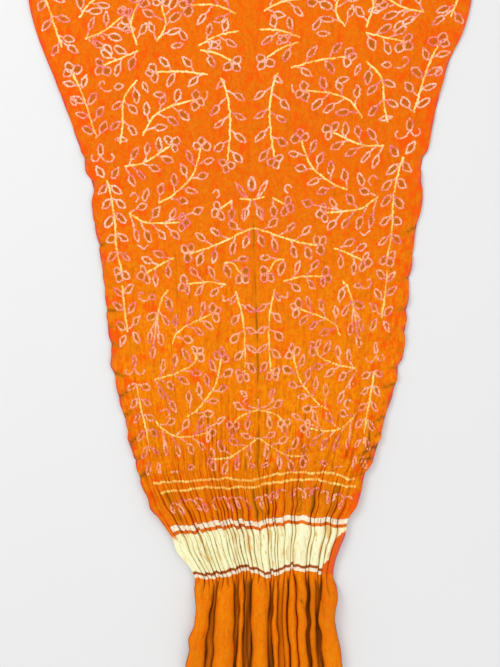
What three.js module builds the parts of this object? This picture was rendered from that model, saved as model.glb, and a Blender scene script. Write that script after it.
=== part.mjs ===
// A bandhani dupatta: one length of tie-dyed cloth, laid out at full length on a flat surface.
// The knotted dyeing draws the cloth in towards both ends, so it narrows from its middle to a
// gathered cream band near each end, and its plain end falls in a few deep folds.
// Millimetres, +Z up, the cloth lengthwise along Y, the origin on the surface under its middle.
import * as THREE from "three";

// Driving dimensions
const HALF_LENGTH = 1240; // from the middle of the laid cloth to the hem of either end
const WALL = 1.2; // the cloth's thickness
const WALL_SHIFT = 1.0; // sideways offset between the two faces of a steep wall
const SEAM = 0.3; // gap left between neighbouring stretches
const TAIL_SEAM = 0.9; // the same below the band, where the two edges have different facets
const FIELD_END = 850; // the open field stops here, where the close gathers start
const BAND_START = 966; // upper edge of the cream band
const BAND_END = 1066; // lower edge of the cream band
const HEM_DEPTH = 8; // the turned hem at each end
const HEM_WALL = 2.0;
const SELVEDGE_SHARE = 0.3; // height of the field's ribs at its selvedges, against their full height
const WIDEST_MOUTH = 0.02; // half the mouth of a field crease, at most, against the width
const CREASE_FLOOR = 0.3; // the flat floor of a field crease, against its mouth
const GATHER_FOOT = 0.6; // half the flat floor of a crease between two gathered ribs
const FOLD_LEAN = 0.16; // how far a tail fold leans in up to its shoulder, against its width
const FOLD_SHOULDER = 0.72; // height of that shoulder, against the fold's
const SHOULDER_WALL = 0.6; // wall measured straight down at a shoulder, against its thickness

// Height of the ribs over the surface, from the middle of the cloth to its band
const FIELD_RIB = [
  { from: 0, rise: 0.7 },
  { from: 400, rise: 1.2 },
  { from: 850, rise: 1.8 },
];
const GATHER_RIB = [
  { from: 850, rise: 2.6 },
  { from: 900, rise: 4.2 },
  { from: 966, rise: 7.0 },
  { from: 1010, rise: 7.6 },
  { from: 1066, rise: 6.4 },
];

// The laid outline of one half: distance from the middle, then the two selvedges
const OUTLINE = [
  { from: 0, left: -404, right: 404 },
  { from: 118, left: -374, right: 372 },
  { from: 200, left: -340, right: 341 },
  { from: 300, left: -304, right: 320 },
  { from: 350, left: -287, right: 307 },
  { from: 400, left: -284, right: 309 },
  { from: 480, left: -268, right: 293 },
  { from: 585, left: -259, right: 283 },
  { from: 655, left: -250, right: 278 },
  { from: 715, left: -240, right: 262 },
  { from: 790, left: -223, right: 240 },
  { from: 850, left: -210, right: 220 },
  { from: 885, left: -201, right: 204 },
  { from: 915, left: -184, right: 199 },
  { from: 940, left: -176, right: 189 },
  { from: 966, left: -156, right: 174 },
  { from: 990, left: -144, right: 169 },
  { from: 1020, left: -134, right: 160 },
  { from: 1042, left: -117, right: 154 },
  { from: 1066, left: -101, right: 150 },
  { from: 1085, left: -100, right: 155 },
  { from: 1115, left: -97, right: 157 },
  { from: 1145, left: -101, right: 154 },
  { from: 1190, left: -110, right: 160 },
  { from: 1240, left: -118, right: 168 },
];

// The sway of the band starts at the field's end and fades towards the hem
const SWAY_FULL_AT = 930;
const SWAY_LEFT_AT_HEM = 0.4;
const UPPER_EDGE_DEPTH = 20; // it keeps the form of the band's upper edge this far down,
const LOWER_EDGE_DEPTH = 10; // and takes that of the lower edge this far above it

// How far the band hangs lower (positive) or higher across its width, at its two edges
const SWAY = [
  { across: 0, upper: 13, lower: 3 },
  { across: 0.1, upper: 10, lower: 7 },
  { across: 0.22, upper: 3, lower: 3 },
  { across: 0.32, upper: -1, lower: -5 },
  { across: 0.42, upper: -1, lower: -3 },
  { across: 0.5, upper: 3, lower: 3 },
  { across: 0.57, upper: -2, lower: 2 },
  { across: 0.69, upper: -7, lower: -10 },
  { across: 0.82, upper: -5, lower: -7 },
  { across: 1, upper: -3, lower: 1 },
];

// The creases between the gathered ribs: place across the width, half the mouth,
// and how high the rib on its left stands against the others
const GATHERS = [
  { at: 0.02, mouth: 1.5, rib: 0.5 },
  { at: 0.06, mouth: 1.8, rib: 0.9 },
  { at: 0.1, mouth: 1.9, rib: 1.0 },
  { at: 0.13, mouth: 1.5, rib: 0.8 },
  { at: 0.165, mouth: 1.7, rib: 1.0 },
  { at: 0.195, mouth: 1.6, rib: 0.85 },
  { at: 0.235, mouth: 2.0, rib: 1.05 },
  { at: 0.26, mouth: 1.4, rib: 0.75 },
  { at: 0.31, mouth: 2.0, rib: 1.1 },
  { at: 0.335, mouth: 1.4, rib: 0.8 },
  { at: 0.36, mouth: 1.5, rib: 0.9 },
  { at: 0.39, mouth: 1.5, rib: 0.95 },
  { at: 0.415, mouth: 1.4, rib: 0.8 },
  { at: 0.44, mouth: 1.5, rib: 0.9 },
  { at: 0.465, mouth: 1.5, rib: 0.85 },
  { at: 0.495, mouth: 2.0, rib: 1.0 },
  { at: 0.53, mouth: 1.5, rib: 0.95 },
  { at: 0.565, mouth: 1.8, rib: 1.05 },
  { at: 0.595, mouth: 1.6, rib: 0.9 },
  { at: 0.62, mouth: 1.4, rib: 0.85 },
  { at: 0.645, mouth: 1.5, rib: 0.9 },
  { at: 0.7, mouth: 1.9, rib: 1.1 },
  { at: 0.725, mouth: 1.4, rib: 0.75 },
  { at: 0.8, mouth: 2.0, rib: 1.1 },
  { at: 0.83, mouth: 1.6, rib: 0.85 },
  { at: 0.87, mouth: 1.8, rib: 1.0 },
  { at: 0.895, mouth: 1.4, rib: 0.8 },
  { at: 0.925, mouth: 1.6, rib: 0.9 },
  { at: 0.955, mouth: 1.5, rib: 0.85 },
  { at: 0.98, mouth: 1.2, rib: 0.7 },
];
const LAST_RIB = 0.5; // the rib that ends at the right selvedge

// The creases that run on up the field: place across the width and half the mouth
const FIELD_CREASES = [
  { at: 0.07, mouth: 5 },
  { at: 0.16, mouth: 6 },
  { at: 0.25, mouth: 5 },
  { at: 0.34, mouth: 6 },
  { at: 0.42, mouth: 5 },
  { at: 0.5, mouth: 4 },
  { at: 0.58, mouth: 5 },
  { at: 0.66, mouth: 6 },
  { at: 0.75, mouth: 5 },
  { at: 0.84, mouth: 6 },
  { at: 0.93, mouth: 5 },
];

// The deep folds of a plain end: where each starts and stops across the width, and its height
const TAIL_FOLDS = [
  { start: 0, stop: 0.1, rise: 15 },
  { start: 0.115, stop: 0.145, rise: 8 },
  { start: 0.17, stop: 0.275, rise: 17 },
  { start: 0.3, stop: 0.345, rise: 14 },
  { start: 0.385, stop: 0.525, rise: 19 },
  { start: 0.545, stop: 0.585, rise: 14 },
  { start: 0.6, stop: 0.64, rise: 8 },
  { start: 0.66, stop: 0.78, rise: 18 },
  { start: 0.797, stop: 0.85, rise: 13 },
  { start: 0.885, stop: 1, rise: 17 },
];
const TAIL_TOP_SHARE = 0.42; // the folds' height where they leave the band, against their full height
const TAIL_FULL_AT = 1125; // and where they stand at their full height

// Cloth colours
const DYED_ORANGE = new THREE.MeshStandardMaterial({ color: 0xf57a08, roughness: 0.62, metalness: 0 });
const GATHERED_ORANGE = new THREE.MeshStandardMaterial({ color: 0xe66e06, roughness: 0.64, metalness: 0 });
const UNDYED_CREAM = new THREE.MeshStandardMaterial({ color: 0xf8efb6, roughness: 0.66, metalness: 0 });
const PLAIN_ORANGE = new THREE.MeshStandardMaterial({ color: 0xee7106, roughness: 0.58, metalness: 0 });

// The value of one column of a table at a place along it, on a smooth curve through the rows.
function along(table, key, column, place) {
  const last = table.length - 1;
  let i = table.findIndex((row) => row[key] > place) - 1;
  if (i === -2) i = last - 1;
  i = Math.min(Math.max(i, 0), last - 1);
  const slopeAt = (k) => {
    const a = table[Math.max(k - 1, 0)];
    const b = table[Math.min(k + 1, last)];
    return (b[column] - a[column]) / (b[key] - a[key]);
  };
  const [a, b] = [table[i], table[i + 1]];
  const span = b[key] - a[key];
  const t = THREE.MathUtils.clamp((place - a[key]) / span, 0, 1);
  const t2 = t * t;
  const t3 = t2 * t;
  return (
    (2 * t3 - 3 * t2 + 1) * a[column] +
    (t3 - 2 * t2 + t) * span * slopeAt(i) +
    (3 * t2 - 2 * t3) * b[column] +
    (t3 - t2) * span * slopeAt(i + 1)
  );
}

// Where a point of the laid cloth is, from its distance along the half and its place across.
function laidX(from, across) {
  const left = along(OUTLINE, "from", "left", from);
  const right = along(OUTLINE, "from", "right", from);
  return left + (right - left) * across;
}

function laidY(from, across) {
  const upper = along(SWAY, "across", "upper", across);
  const lower = along(SWAY, "across", "lower", across);
  const entering = THREE.MathUtils.smoothstep(from, FIELD_END, SWAY_FULL_AT);
  const keptTo = BAND_START + UPPER_EDGE_DEPTH;
  const changing = THREE.MathUtils.smoothstep(from, keptTo, BAND_END - LOWER_EDGE_DEPTH);
  const leaving = 1 - (1 - SWAY_LEFT_AT_HEM) * THREE.MathUtils.smoothstep(from, BAND_END, HALF_LENGTH);
  return -(from + entering * leaving * THREE.MathUtils.lerp(upper, lower, changing));
}

// A section is a list of points across the cloth: its upper face and its lower face,
// each with a place across the surface and a height.
function point(x, z, lowerX, lowerZ) {
  return { x, z, lowerX, lowerZ };
}

// The field lies flat on the surface. Low ribs stand on its upper face between the long creases.
function fieldSection(from) {
  const distance = Math.abs(from);
  const side = from < 0 ? -1 : 1; // the far half is the near one turned about the middle
  const width = laidX(distance, 1) - laidX(distance, 0);
  const rise = along(FIELD_RIB, "from", "rise", distance);
  const flat = (x, z) => point(x, z, x, 0);
  const places = side < 0 ? FIELD_CREASES.map((c) => ({ ...c, at: 1 - c.at })).reverse() : FIELD_CREASES;
  const edgeTop = WALL + rise * SELVEDGE_SHARE;
  const section = [flat(laidX(distance, side < 0 ? 1 : 0) * side, edgeTop)];
  for (const { at, mouth } of places) {
    const across = side < 0 ? 1 - at : at;
    const x = laidX(distance, across) * side;
    const open = Math.min(mouth, width * WIDEST_MOUTH);
    const floor = open * CREASE_FLOOR;
    section.push(flat(x - open, WALL + rise), flat(x - floor, WALL));
    section.push(flat(x + floor, WALL), flat(x + open, WALL + rise));
  }
  section.push(flat(laidX(distance, side < 0 ? 0 : 1) * side, edgeTop));
  return section;
}

// The gathered stretch and the band: hollow ribs, with the creases between them on the surface.
function gatheredSection(from) {
  const rise = along(GATHER_RIB, "from", "rise", from);
  const left = laidX(from, 0);
  const right = laidX(from, 1);
  const first = WALL + rise * GATHERS[0].rib;
  const last = WALL + rise * LAST_RIB;
  const section = [point(left, first, left, first - WALL)];
  GATHERS.forEach(({ at, mouth, rib }, i) => {
    const x = laidX(from, at);
    const ribOnLeft = WALL + rise * rib;
    const ribOnRight = WALL + rise * (i + 1 < GATHERS.length ? GATHERS[i + 1].rib : LAST_RIB);
    section.push(
      point(x - mouth, ribOnLeft, x - mouth - WALL_SHIFT, ribOnLeft - WALL),
      point(x - GATHER_FOOT, WALL, x - GATHER_FOOT - WALL_SHIFT, 0),
      point(x + GATHER_FOOT, WALL, x + GATHER_FOOT + WALL_SHIFT, 0),
      point(x + mouth, ribOnRight, x + mouth + WALL_SHIFT, ribOnRight - WALL),
    );
  });
  section.push(point(right, last, right, last - WALL));
  return section;
}

// The plain end: a few deep hollow folds, and the hem turned at its edge.
function tailSection(from) {
  const share = THREE.MathUtils.smoothstep(from, BAND_END, TAIL_FULL_AT);
  const height = TAIL_TOP_SHARE + (1 - TAIL_TOP_SHARE) * share;
  const wall = from > HALF_LENGTH - HEM_DEPTH ? HEM_WALL : WALL;
  const section = [];
  for (const { start, stop, rise } of TAIL_FOLDS) {
    const a = laidX(from, start);
    const b = laidX(from, stop);
    const top = wall + rise * height;
    const lean = (b - a) * FOLD_LEAN;
    const shoulder = top * FOLD_SHOULDER;
    const under = shoulder - wall * SHOULDER_WALL;
    section.push(
      point(a, wall, a + WALL_SHIFT, 0),
      point(a + lean, shoulder, a + lean + WALL_SHIFT, under),
      point((a + b) / 2, top, (a + b) / 2, top - wall),
      point(b - lean, shoulder, b - lean - WALL_SHIFT, under),
      point(b, wall, b - WALL_SHIFT, 0),
    );
  }
  return section;
}

// A closed wall of cloth through a row of sections.
function clothWall(stations, sectionAt) {
  const upper = [];
  const lower = [];
  for (const from of stations) {
    const section = sectionAt(from);
    const [left, right] = [section[0].x, section[section.length - 1].x];
    for (const p of section) {
      const across = THREE.MathUtils.clamp((p.x - left) / (right - left), 0, 1);
      const y = from < 0 ? -laidY(-from, 1 - across) : laidY(from, across);
      upper.push(p.x, y, p.z);
      lower.push(p.lowerX, y, p.lowerZ);
    }
  }
  const rows = stations.length;
  const columns = upper.length / 3 / rows;
  const under = rows * columns;
  const faces = [];
  const quad = (a, b, c, d) => faces.push(a, b, c, a, c, d);
  for (let r = 0; r + 1 < rows; r++) {
    for (let c = 0; c + 1 < columns; c++) {
      const a = r * columns + c;
      const d = a + columns;
      quad(a, d, d + 1, a + 1);
      quad(under + a, under + a + 1, under + d + 1, under + d);
    }
    const left = r * columns;
    const right = left + columns - 1;
    quad(left, under + left, under + left + columns, left + columns);
    quad(right, right + columns, under + right + columns, under + right);
  }
  for (let c = 0; c + 1 < columns; c++) {
    const end = (rows - 1) * columns + c;
    quad(c, c + 1, under + c + 1, under + c);
    quad(end, under + end, under + end + 1, end + 1);
  }
  const geometry = new THREE.BufferGeometry();
  geometry.setAttribute("position", new THREE.Float32BufferAttribute([...upper, ...lower], 3));
  geometry.setIndex(faces);
  geometry.computeVertexNormals();
  return geometry;
}

// The outline's own stations between two places, with the two places at the ends.
function stationsBetween(start, stop, keepEvery = 1) {
  const inside = OUTLINE.map((row) => row.from).filter((from) => from > start + 4 && from < stop - 4);
  return [start, ...inside.filter((_, i) => (i + 1) % keepEvery === 0), stop];
}

function piece(name, stations, sectionAt, material) {
  const mesh = new THREE.Mesh(clothWall(stations, sectionAt), material);
  mesh.name = name;
  return mesh;
}

// One gathered end of the cloth: the drawn-in stretch, the cream band and the plain tail.
function gatheredEnd(prefix, keepEvery) {
  const end = new THREE.Group();
  const gather = stationsBetween(FIELD_END + SEAM / 2, BAND_START - SEAM / 2, keepEvery);
  const band = stationsBetween(BAND_START + SEAM / 2, BAND_END - SEAM / 2, keepEvery);
  const tail = stationsBetween(BAND_END + TAIL_SEAM, HALF_LENGTH, keepEvery);
  tail.splice(-1, 0, HALF_LENGTH - HEM_DEPTH);
  end.add(piece(`${prefix}_gathered_stretch`, gather, gatheredSection, GATHERED_ORANGE));
  end.add(piece(`${prefix}_cream_band`, band, gatheredSection, UNDYED_CREAM));
  end.add(piece(`${prefix}_plain_end`, tail, tailSection, PLAIN_ORANGE));
  return end;
}

const dupatta = new THREE.Group();

const nearStations = stationsBetween(0, FIELD_END - SEAM / 2);
const farStations = nearStations.slice(1).map((from) => -from);
const fieldStations = [...farStations.reverse(), ...nearStations];
dupatta.add(piece("field", fieldStations, fieldSection, DYED_ORANGE));

dupatta.add(gatheredEnd("near", 1));

const farEnd = gatheredEnd("far", 2);
farEnd.rotation.z = Math.PI;
dupatta.add(farEnd);

export default dupatta;
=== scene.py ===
import math

import bpy
import numpy as np
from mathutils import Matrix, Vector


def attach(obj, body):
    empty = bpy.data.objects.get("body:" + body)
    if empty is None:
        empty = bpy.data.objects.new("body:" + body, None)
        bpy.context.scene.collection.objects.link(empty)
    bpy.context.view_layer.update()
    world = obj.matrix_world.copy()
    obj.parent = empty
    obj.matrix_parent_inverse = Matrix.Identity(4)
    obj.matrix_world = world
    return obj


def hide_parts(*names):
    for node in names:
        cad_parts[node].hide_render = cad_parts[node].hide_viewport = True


# The looks of a bandhani dupatta laid out at full length: the crinkled tie-dyed field with its vines
# of tied dots, the gathered ends with their cream bands, and the plain ends in deep folds.
# Cloth is worked out in millimetres and made in metres. "From" is the distance from the middle of
# the cloth towards one end, and "across" runs from 0 at its left selvedge to 1 at its right one.
# The near end lies towards -Y. The far end is the near one turned about the middle.

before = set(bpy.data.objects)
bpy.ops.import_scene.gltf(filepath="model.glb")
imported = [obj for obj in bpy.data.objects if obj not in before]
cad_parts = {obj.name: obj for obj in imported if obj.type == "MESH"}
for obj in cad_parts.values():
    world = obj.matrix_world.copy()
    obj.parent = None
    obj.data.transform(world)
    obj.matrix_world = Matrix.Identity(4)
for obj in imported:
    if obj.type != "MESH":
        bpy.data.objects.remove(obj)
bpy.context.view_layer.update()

MM = 0.001
FIELD_END = 850.0
GATHERS_START = 885.0
BAND_START = 966.0
BAND_END = 1066.0
HALF_LENGTH = 1240.0
# Stated narrower than the usual cut of 915, which the scale of a pixel below comes from: the crinkles here
# are too shallow to take up that much cloth, so this width is a choice and no measurement.
CUT_WIDTH = 870.0
HEM_DEPTH = 8.0
CLOTH = 0.7  # thickness of the shell that stands for the cloth
HEM_LIFT = 0.8  # how much higher the turned hem stands
REST = 0.8  # height of the cloth's face where it lies on the surface

# The laid outline of one half: from, left selvedge, right selvedge
OUTLINE = [
    (0, -400, 400), (35, -398, 398), (78, -388, 387), (118, -374, 372), (200, -340, 341),
    (300, -304, 320), (350, -287, 307), (400, -284, 309), (480, -268, 293), (585, -259, 283),
    (655, -250, 278), (715, -240, 262), (790, -223, 240), (850, -210, 220), (885, -201, 204),
    (915, -184, 199), (940, -176, 189), (966, -156, 174), (990, -144, 169), (1020, -129, 160),
    (1042, -110, 154), (1066, -99, 150), (1085, -100, 155), (1115, -97, 157), (1145, -101, 154),
    (1190, -110, 160), (1240, -118, 168),
]

# How far the band's two edges hang lower (positive) or higher: across, upper edge, lower edge
SWAY = [
    (0, 13, 3), (0.1, 10, 7), (0.22, 3, 3), (0.32, -1, -5), (0.42, -1, -3), (0.5, 3, 3), (0.57, -2, 2),
    (0.69, -7, -10), (0.82, -5, -7), (1, -3, 1),
]
SWAY_FULL_AT = 930.0

# The creases between the gathered ribs: across, how high the rib on its left stands, and how deep and dark it
# shows, the dark being painted shade
GATHERS = [
    (0.03, 0.7, 0.2), (0.07, 0.9, 0.9), (0.1, 1.0, 0.35), (0.13, 0.85, 0.3), (0.157, 1.0, 1.0),
    (0.18, 0.8, 0.5), (0.207, 1.05, 0.85), (0.235, 0.9, 0.3), (0.27, 1.0, 0.2), (0.3, 1.0, 1.0),
    (0.318, 0.75, 0.7), (0.335, 0.8, 0.9), (0.353, 0.85, 1.0), (0.375, 0.85, 0.9), (0.4, 0.9, 0.95),
    (0.43, 0.95, 0.5), (0.463, 1.0, 1.0), (0.505, 1.05, 0.3), (0.55, 1.0, 0.85), (0.57, 0.8, 0.5),
    (0.592, 0.9, 1.0), (0.607, 0.7, 0.9), (0.65, 1.05, 0.3), (0.69, 1.0, 1.0), (0.71, 0.75, 0.9),
    (0.8, 1.15, 1.0), (0.82, 0.75, 0.6), (0.887, 1.1, 1.0), (0.912, 0.85, 0.9), (0.95, 0.9, 0.9),
    (1.0, 0.6, 1.0),
]
# Deeper hollows between some of them above the band: across, half width, and how dark
GATHER_SHADOWS = [
    (0.1, 0.012, 0.85), (0.2, 0.005, 0.5), (0.29, 0.006, 0.65), (0.35, 0.005, 0.5), (0.417, 0.009, 0.9),
    (0.502, 0.008, 0.95), (0.566, 0.011, 1.0), (0.66, 0.006, 0.5), (0.69, 0.013, 0.5),
    (0.73, 0.008, 0.9), (0.793, 0.012, 1.0), (0.853, 0.011, 0.65), (0.9, 0.01, 0.9),
]
# Dye that crept under the binding of the band: across, from, half width across, half length, how dark
SEEPED = [
    (0.165, 1024, 0.007, 20, 0.4), (0.345, 1010, 0.012, 32, 0.36), (0.43, 1016, 0.014, 34, 0.5),
    (0.555, 992, 0.011, 20, 0.6), (0.63, 989, 0.01, 14, 0.45), (0.675, 1034, 0.011, 14, 0.35),
    (0.88, 1022, 0.009, 20, 0.45), (0.905, 993, 0.011, 13, 0.62), (0.25, 985, 0.006, 12, 0.4),
    (0.485, 1035, 0.005, 16, 0.35), (0.76, 1040, 0.005, 12, 0.3),
]
# Height of those ribs: from, rise
RIB_RISE = [
    (0, 0.0), (500, 0.1), (700, 0.4), (790, 1.0), (850, 1.6), (890, 4.0), (930, 8.6), (966, 10.4),
    (1010, 10.8), (1050, 9.8), (1066, 8.6),
]
# Depth of the fine crinkles between them: from, depth
CRINKLE_DEPTH = [(0, 1.1), (200, 1.1), (350, 1.3), (500, 1.8), (620, 2.4), (720, 3.3), (800, 4.4),
                 (860, 7.4), (900, 7.4), (930, 6.2), (975, 4.4), (1066, 3.4)]
# How much of the crinkles' length shows dark, partly dye and partly painted shade in their hollows: from,
# share
CRINKLE_DYE_AND_SHADE = [
    (0, 0.02), (250, 0.12), (420, 0.28), (600, 0.46), (760, 0.66), (860, 0.85), (950, 0.9), (985, 0.42),
    (1066, 0.42),
]

# The folds of a plain end: left and right foot at the band, the same further down, height, and how dark its
# painted shade is, darkest on the low folds between the others
TAIL_FOLDS = [
    (0.0, 0.145, 0.0, 0.12, 23, 0.0), (0.147, 0.166, 0.122, 0.163, 9, 0.9),
    (0.168, 0.287, 0.165, 0.295, 26.5, 0.0), (0.289, 0.318, 0.297, 0.33, 9, 0.9),
    (0.32, 0.352, 0.331, 0.357, 22, 0.1), (0.354, 0.41, 0.359, 0.416, 9, 1.0),
    (0.413, 0.545, 0.419, 0.522, 28, 0.0), (0.548, 0.568, 0.524, 0.553, 9, 0.85),
    (0.57, 0.597, 0.556, 0.584, 22, 0.1), (0.599, 0.643, 0.587, 0.63, 13, 0.62),
    (0.645, 0.668, 0.632, 0.655, 18, 0.3), (0.68, 0.716, 0.667, 0.715, 23, 0.0),
    (0.72, 0.8, 0.722, 0.783, 26, 0.0), (0.82, 0.866, 0.81, 0.845, 20, 0.3),
    (0.869, 0.908, 0.847, 0.872, 9, 1.0), (0.912, 1.0, 0.875, 1.0, 25, 0.0),
]
# Creases on those folds: from and across where each starts, the same where it stops, and depth
TAIL_CREASES = [
    (1072, 0.535, 1104, 0.518, 0.9), (1082, 0.138, 1112, 0.122, 0.7), (1068, 0.052, 1094, 0.057, 0.6),
    (1068, 0.105, 1096, 0.143, 0.8), (1068, 0.463, 1098, 0.474, 0.5), (1069, 0.237, 1088, 0.262, 0.45),
    (1070, 0.71, 1106, 0.74, 1.0), (1102, 0.735, 1140, 0.79, 1.0), (1074, 0.93, 1110, 0.95, 0.8),
    (1094, 0.895, 1150, 0.908, 0.7), (1150, 0.06, 1230, 0.05, 0.5), (1140, 0.23, 1225, 0.245, 0.4),
    (1120, 0.455, 1210, 0.44, 0.4),
]
TAIL_TOP_SHARE = 0.8
TAIL_WIDTH = 265.0  # a rough width in millimetres, for lengths round the folds
TAIL_CREASE_WIDTH = 254.0  # the same where the creases cross them
TAIL_FULL_AT = 1120.0
TAIL_SETTLED_AT = 1142.0

# Millimetres of cloth to one pixel of the 500 by 667 frame. The vines, tucks and listed creases
# are given in these pixels, counted from the centre fold and from the middle of the cloth.
PIXEL = 1.8
# Where the centre fold lies: from, x
CENTRE_FOLD = [(0, 0), (120, -2), (210, -1), (300, 1), (390, 4), (480, 7), (600, 11), (700, 14),
               (800, 15.5), (870, 15), (940, 20), (1000, 23), (1066, 25)]
# How the right half lies against the left: from in pixels, how far the design rises towards the
# selvedge for each pixel outwards, and how much wider it lies near the selvedge
RIGHT_HALF = [
    (0, 0.16, 1.05), (180, 0.165, 1.055), (230, 0.135, 1.02), (300, 0.115, 1.0), (370, 0.105, 0.965),
    (430, 0.1, 0.95), (480, 0.065, 0.955), (540, 0.03, 0.96),
]


def curve_through(rows, column):
    """A smooth curve through one column of a table, over the table's first column."""
    places = np.array([row[0] for row in rows], float)
    values = np.array([row[column] for row in rows], float)
    last = len(rows) - 1
    before = np.maximum(np.arange(last + 1) - 1, 0)
    after = np.minimum(np.arange(last + 1) + 1, last)
    slopes = (values[after] - values[before]) / (places[after] - places[before])

    def value(at):
        at = np.clip(at, places[0], places[-1])
        i = np.clip(np.searchsorted(places, at, side="right") - 1, 0, last - 1)
        span = places[i + 1] - places[i]
        t = (at - places[i]) / span
        near = (2 * t**3 - 3 * t**2 + 1) * values[i] + (t**3 - 2 * t**2 + t) * span * slopes[i]
        return near + (3 * t**2 - 2 * t**3) * values[i + 1] + (t**3 - t**2) * span * slopes[i + 1]

    return value


def eased(value, start, stop):
    """0 before start, 1 after stop, and a smooth step between them."""
    t = np.clip((value - start) / (stop - start), 0, 1)
    return t * t * (3 - 2 * t)


def soft_noise(seed, size=512):
    """Smooth noise from -1 to 1 over a plane, one bump to a unit, the same each time."""
    lattice = np.random.default_rng(seed).uniform(-1, 1, (size, size))

    def value(x, y):
        x, y = np.broadcast_arrays(np.asarray(x, float), np.asarray(y, float))
        i, j = np.floor(x).astype(int), np.floor(y).astype(int)
        u, v = x - i, y - j
        u, v = u * u * (3 - 2 * u), v * v * (3 - 2 * v)
        i, j, i2, j2 = i % size, j % size, (i + 1) % size, (j + 1) % size
        low = lattice[i, j] * (1 - u) + lattice[i2, j] * u
        high = lattice[i, j2] * (1 - u) + lattice[i2, j2] * u
        return low * (1 - v) + high * v

    return value


left_edge = curve_through(OUTLINE, 1)
right_edge = curve_through(OUTLINE, 2)
upper_sway = curve_through(SWAY, 1)
lower_sway = curve_through(SWAY, 2)
rib_rise = curve_through(RIB_RISE, 1)
crinkle_depth = curve_through(CRINKLE_DEPTH, 1)
crinkle_dye_and_shade = curve_through(CRINKLE_DYE_AND_SHADE, 1)
centre_fold = curve_through(CENTRE_FOLD, 1)
right_rise = curve_through(RIGHT_HALF, 1)
right_width = curve_through(RIGHT_HALF, 2)
folding = soft_noise(3)
wandering = soft_noise(5)

# Tucks at the selvedges, in pixels but for the depth: side, from, reach inwards, slope, depth
TUCKS = [
    (-1, 174, 10, 0.1, 1.2), (-1, 200, 9, -0.2, 0.8), (-1, 241, 13, -0.1, 1.0),
    (-1, 262, 15, -0.25, 1.8), (-1, 288, 9, 0.2, 0.9), (-1, 304, 9, -0.2, 0.9), (-1, 327, 17, 0.1, 1.7),
    (-1, 343, 12, 0.3, 1.1), (-1, 361, 14, 0.2, 1.6), (-1, 390, 13, 0.35, 1.9),
    (-1, 414, 18, -0.5, 1.8), (-1, 433, 15, -0.6, 1.6), (-1, 447, 10, -0.3, 1.1),
    (-1, 461, 17, -0.7, 1.8), (-1, 477, 11, -0.3, 1.2), (-1, 491, 14, -0.4, 1.6),
    (1, 173, 11, 0.2, 1.2), (1, 210, 8, 0.1, 0.8), (1, 244, 18, 0.6, 1.8), (1, 271, 9, -0.2, 0.9),
    (1, 295, 16, 0.2, 1.3), (1, 326, 18, 0.05, 1.6), (1, 347, 10, 0.2, 0.9), (1, 368, 11, -0.3, 1.2),
    (1, 384, 12, 0.1, 1.3), (1, 401, 16, 0.3, 1.9), (1, 418, 12, 0.4, 1.2), (1, 433, 20, 0.6, 1.7),
    (1, 449, 14, 0.7, 1.4), (1, 463, 24, 0.6, 2.0), (1, 475, 20, 0.15, 1.7), (1, 490, 14, 0.5, 1.3),
]
# Bulges and bays of the selvedges, in millimetres: side, from, half its length, how far out
LOBES = [
    (-1, 340, 13, 5.5), (-1, 371, 17, -6), (-1, 460, 55, 3.4), (-1, 690, 12, 5), (-1, 742, 34, 4),
    (-1, 826, 12, 5), (-1, 945, 18, -3), (-1, 990, 20, -6), (1, 140, 30, -5.4), (1, 324, 20, -5.6),
    (1, 372, 15, 3.4), (1, 428, 20, -3.6), (1, 625, 14, -3), (1, 692, 12, -5), (1, 718, 11, 3.6),
    (1, 752, 11, 3.6), (1, 815, 26, 4), (1, 868, 24, 6.5), (1, 945, 15, 3), (1, 1000, 15, 3),
]
# Creases given one by one, in pixels but for the depth: right of the centre fold, from, length, depth
CREASES = [
    (0, 66, 50, 0.8), (0, 120, 46, 1.1), (0, 168, 44, 1.0), (0.2, 214, 40, 1.1), (0.2, 256, 46, 2.2),
    (0, 300, 44, 2.2), (0.3, 340, 46, 3.0), (0, 384, 44, 2.5), (0.2, 424, 34, 2.2), (0, 470, 60, 3.0),
    (0.3, 520, 46, 2.6), (-50, 437, 14, 2.2), (-46, 455, 13, 1.9), (-64, 476, 18, 1.8),
    (-94, 466, 16, 2.2), (-104, 449, 16, 2.3), (-20, 447, 15, 1.8), (-32, 470, 17, 1.9),
    (-78, 470, 15, 1.6), (-66, 296, 14, 0.9), (-28, 286, 12, 1.0), (-97, 398, 14, 1.4),
    (-15, 400, 16, 1.5), (-38, 356, 15, 1.1), (-128, 196, 14, 1.1), (-140, 300, 12, 1.0),
    (47, 436, 14, 1.9), (31, 444, 13, 1.8), (44, 466, 18, 2.0), (62, 452, 15, 1.8), (111, 455, 22, 2.6),
    (103, 484, 16, 2.2), (88, 470, 13, 1.7), (20, 462, 16, 1.9), (74, 484, 16, 1.9), (30, 300, 13, 1.0),
    (92, 330, 13, 1.1), (56, 382, 14, 1.3), (13, 345, 16, 1.3), (120, 400, 14, 1.4), (34, 395, 14, 1.4),
    (-118, 430, 15, 1.5), (98, 432, 14, 1.5), (8, 482, 22, 2.2), (-12, 482, 20, 2.0),
    (-44, 486, 20, 2.1),
]
CRINKLE_LINES = 148


def selvedges(from_):
    """The two edges of the laid cloth, scalloped between their tucks."""
    left, right = left_edge(from_), right_edge(from_)
    for side, place, reach, slope, depth in TUCKS:
        notch = 2.3 * depth * np.exp(-np.abs(from_ - place * PIXEL) / 8.0)
        if side < 0:
            left = left + notch
        else:
            right = right - notch
    for side, place, reach, out in LOBES:
        bulge = out * np.exp(-(((from_ - place) / reach) ** 2))
        if side < 0:
            left = left - bulge
        else:
            right = right + bulge
    ripple = eased(from_, 60, 300) * (1 - eased(from_, 960, 1060))
    left = left - ripple * (1.2 + 1.6 * folding(from_ / 17, 3.7))
    right = right + ripple * (1.2 + 1.6 * folding(from_ / 19, 9.2))
    return left, right


def rib_number(across):
    """Which gathered rib each place lies on."""
    return np.searchsorted(np.array([row[0] for row in GATHERS]), np.clip(across, 0, 0.9999), side="right")


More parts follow.
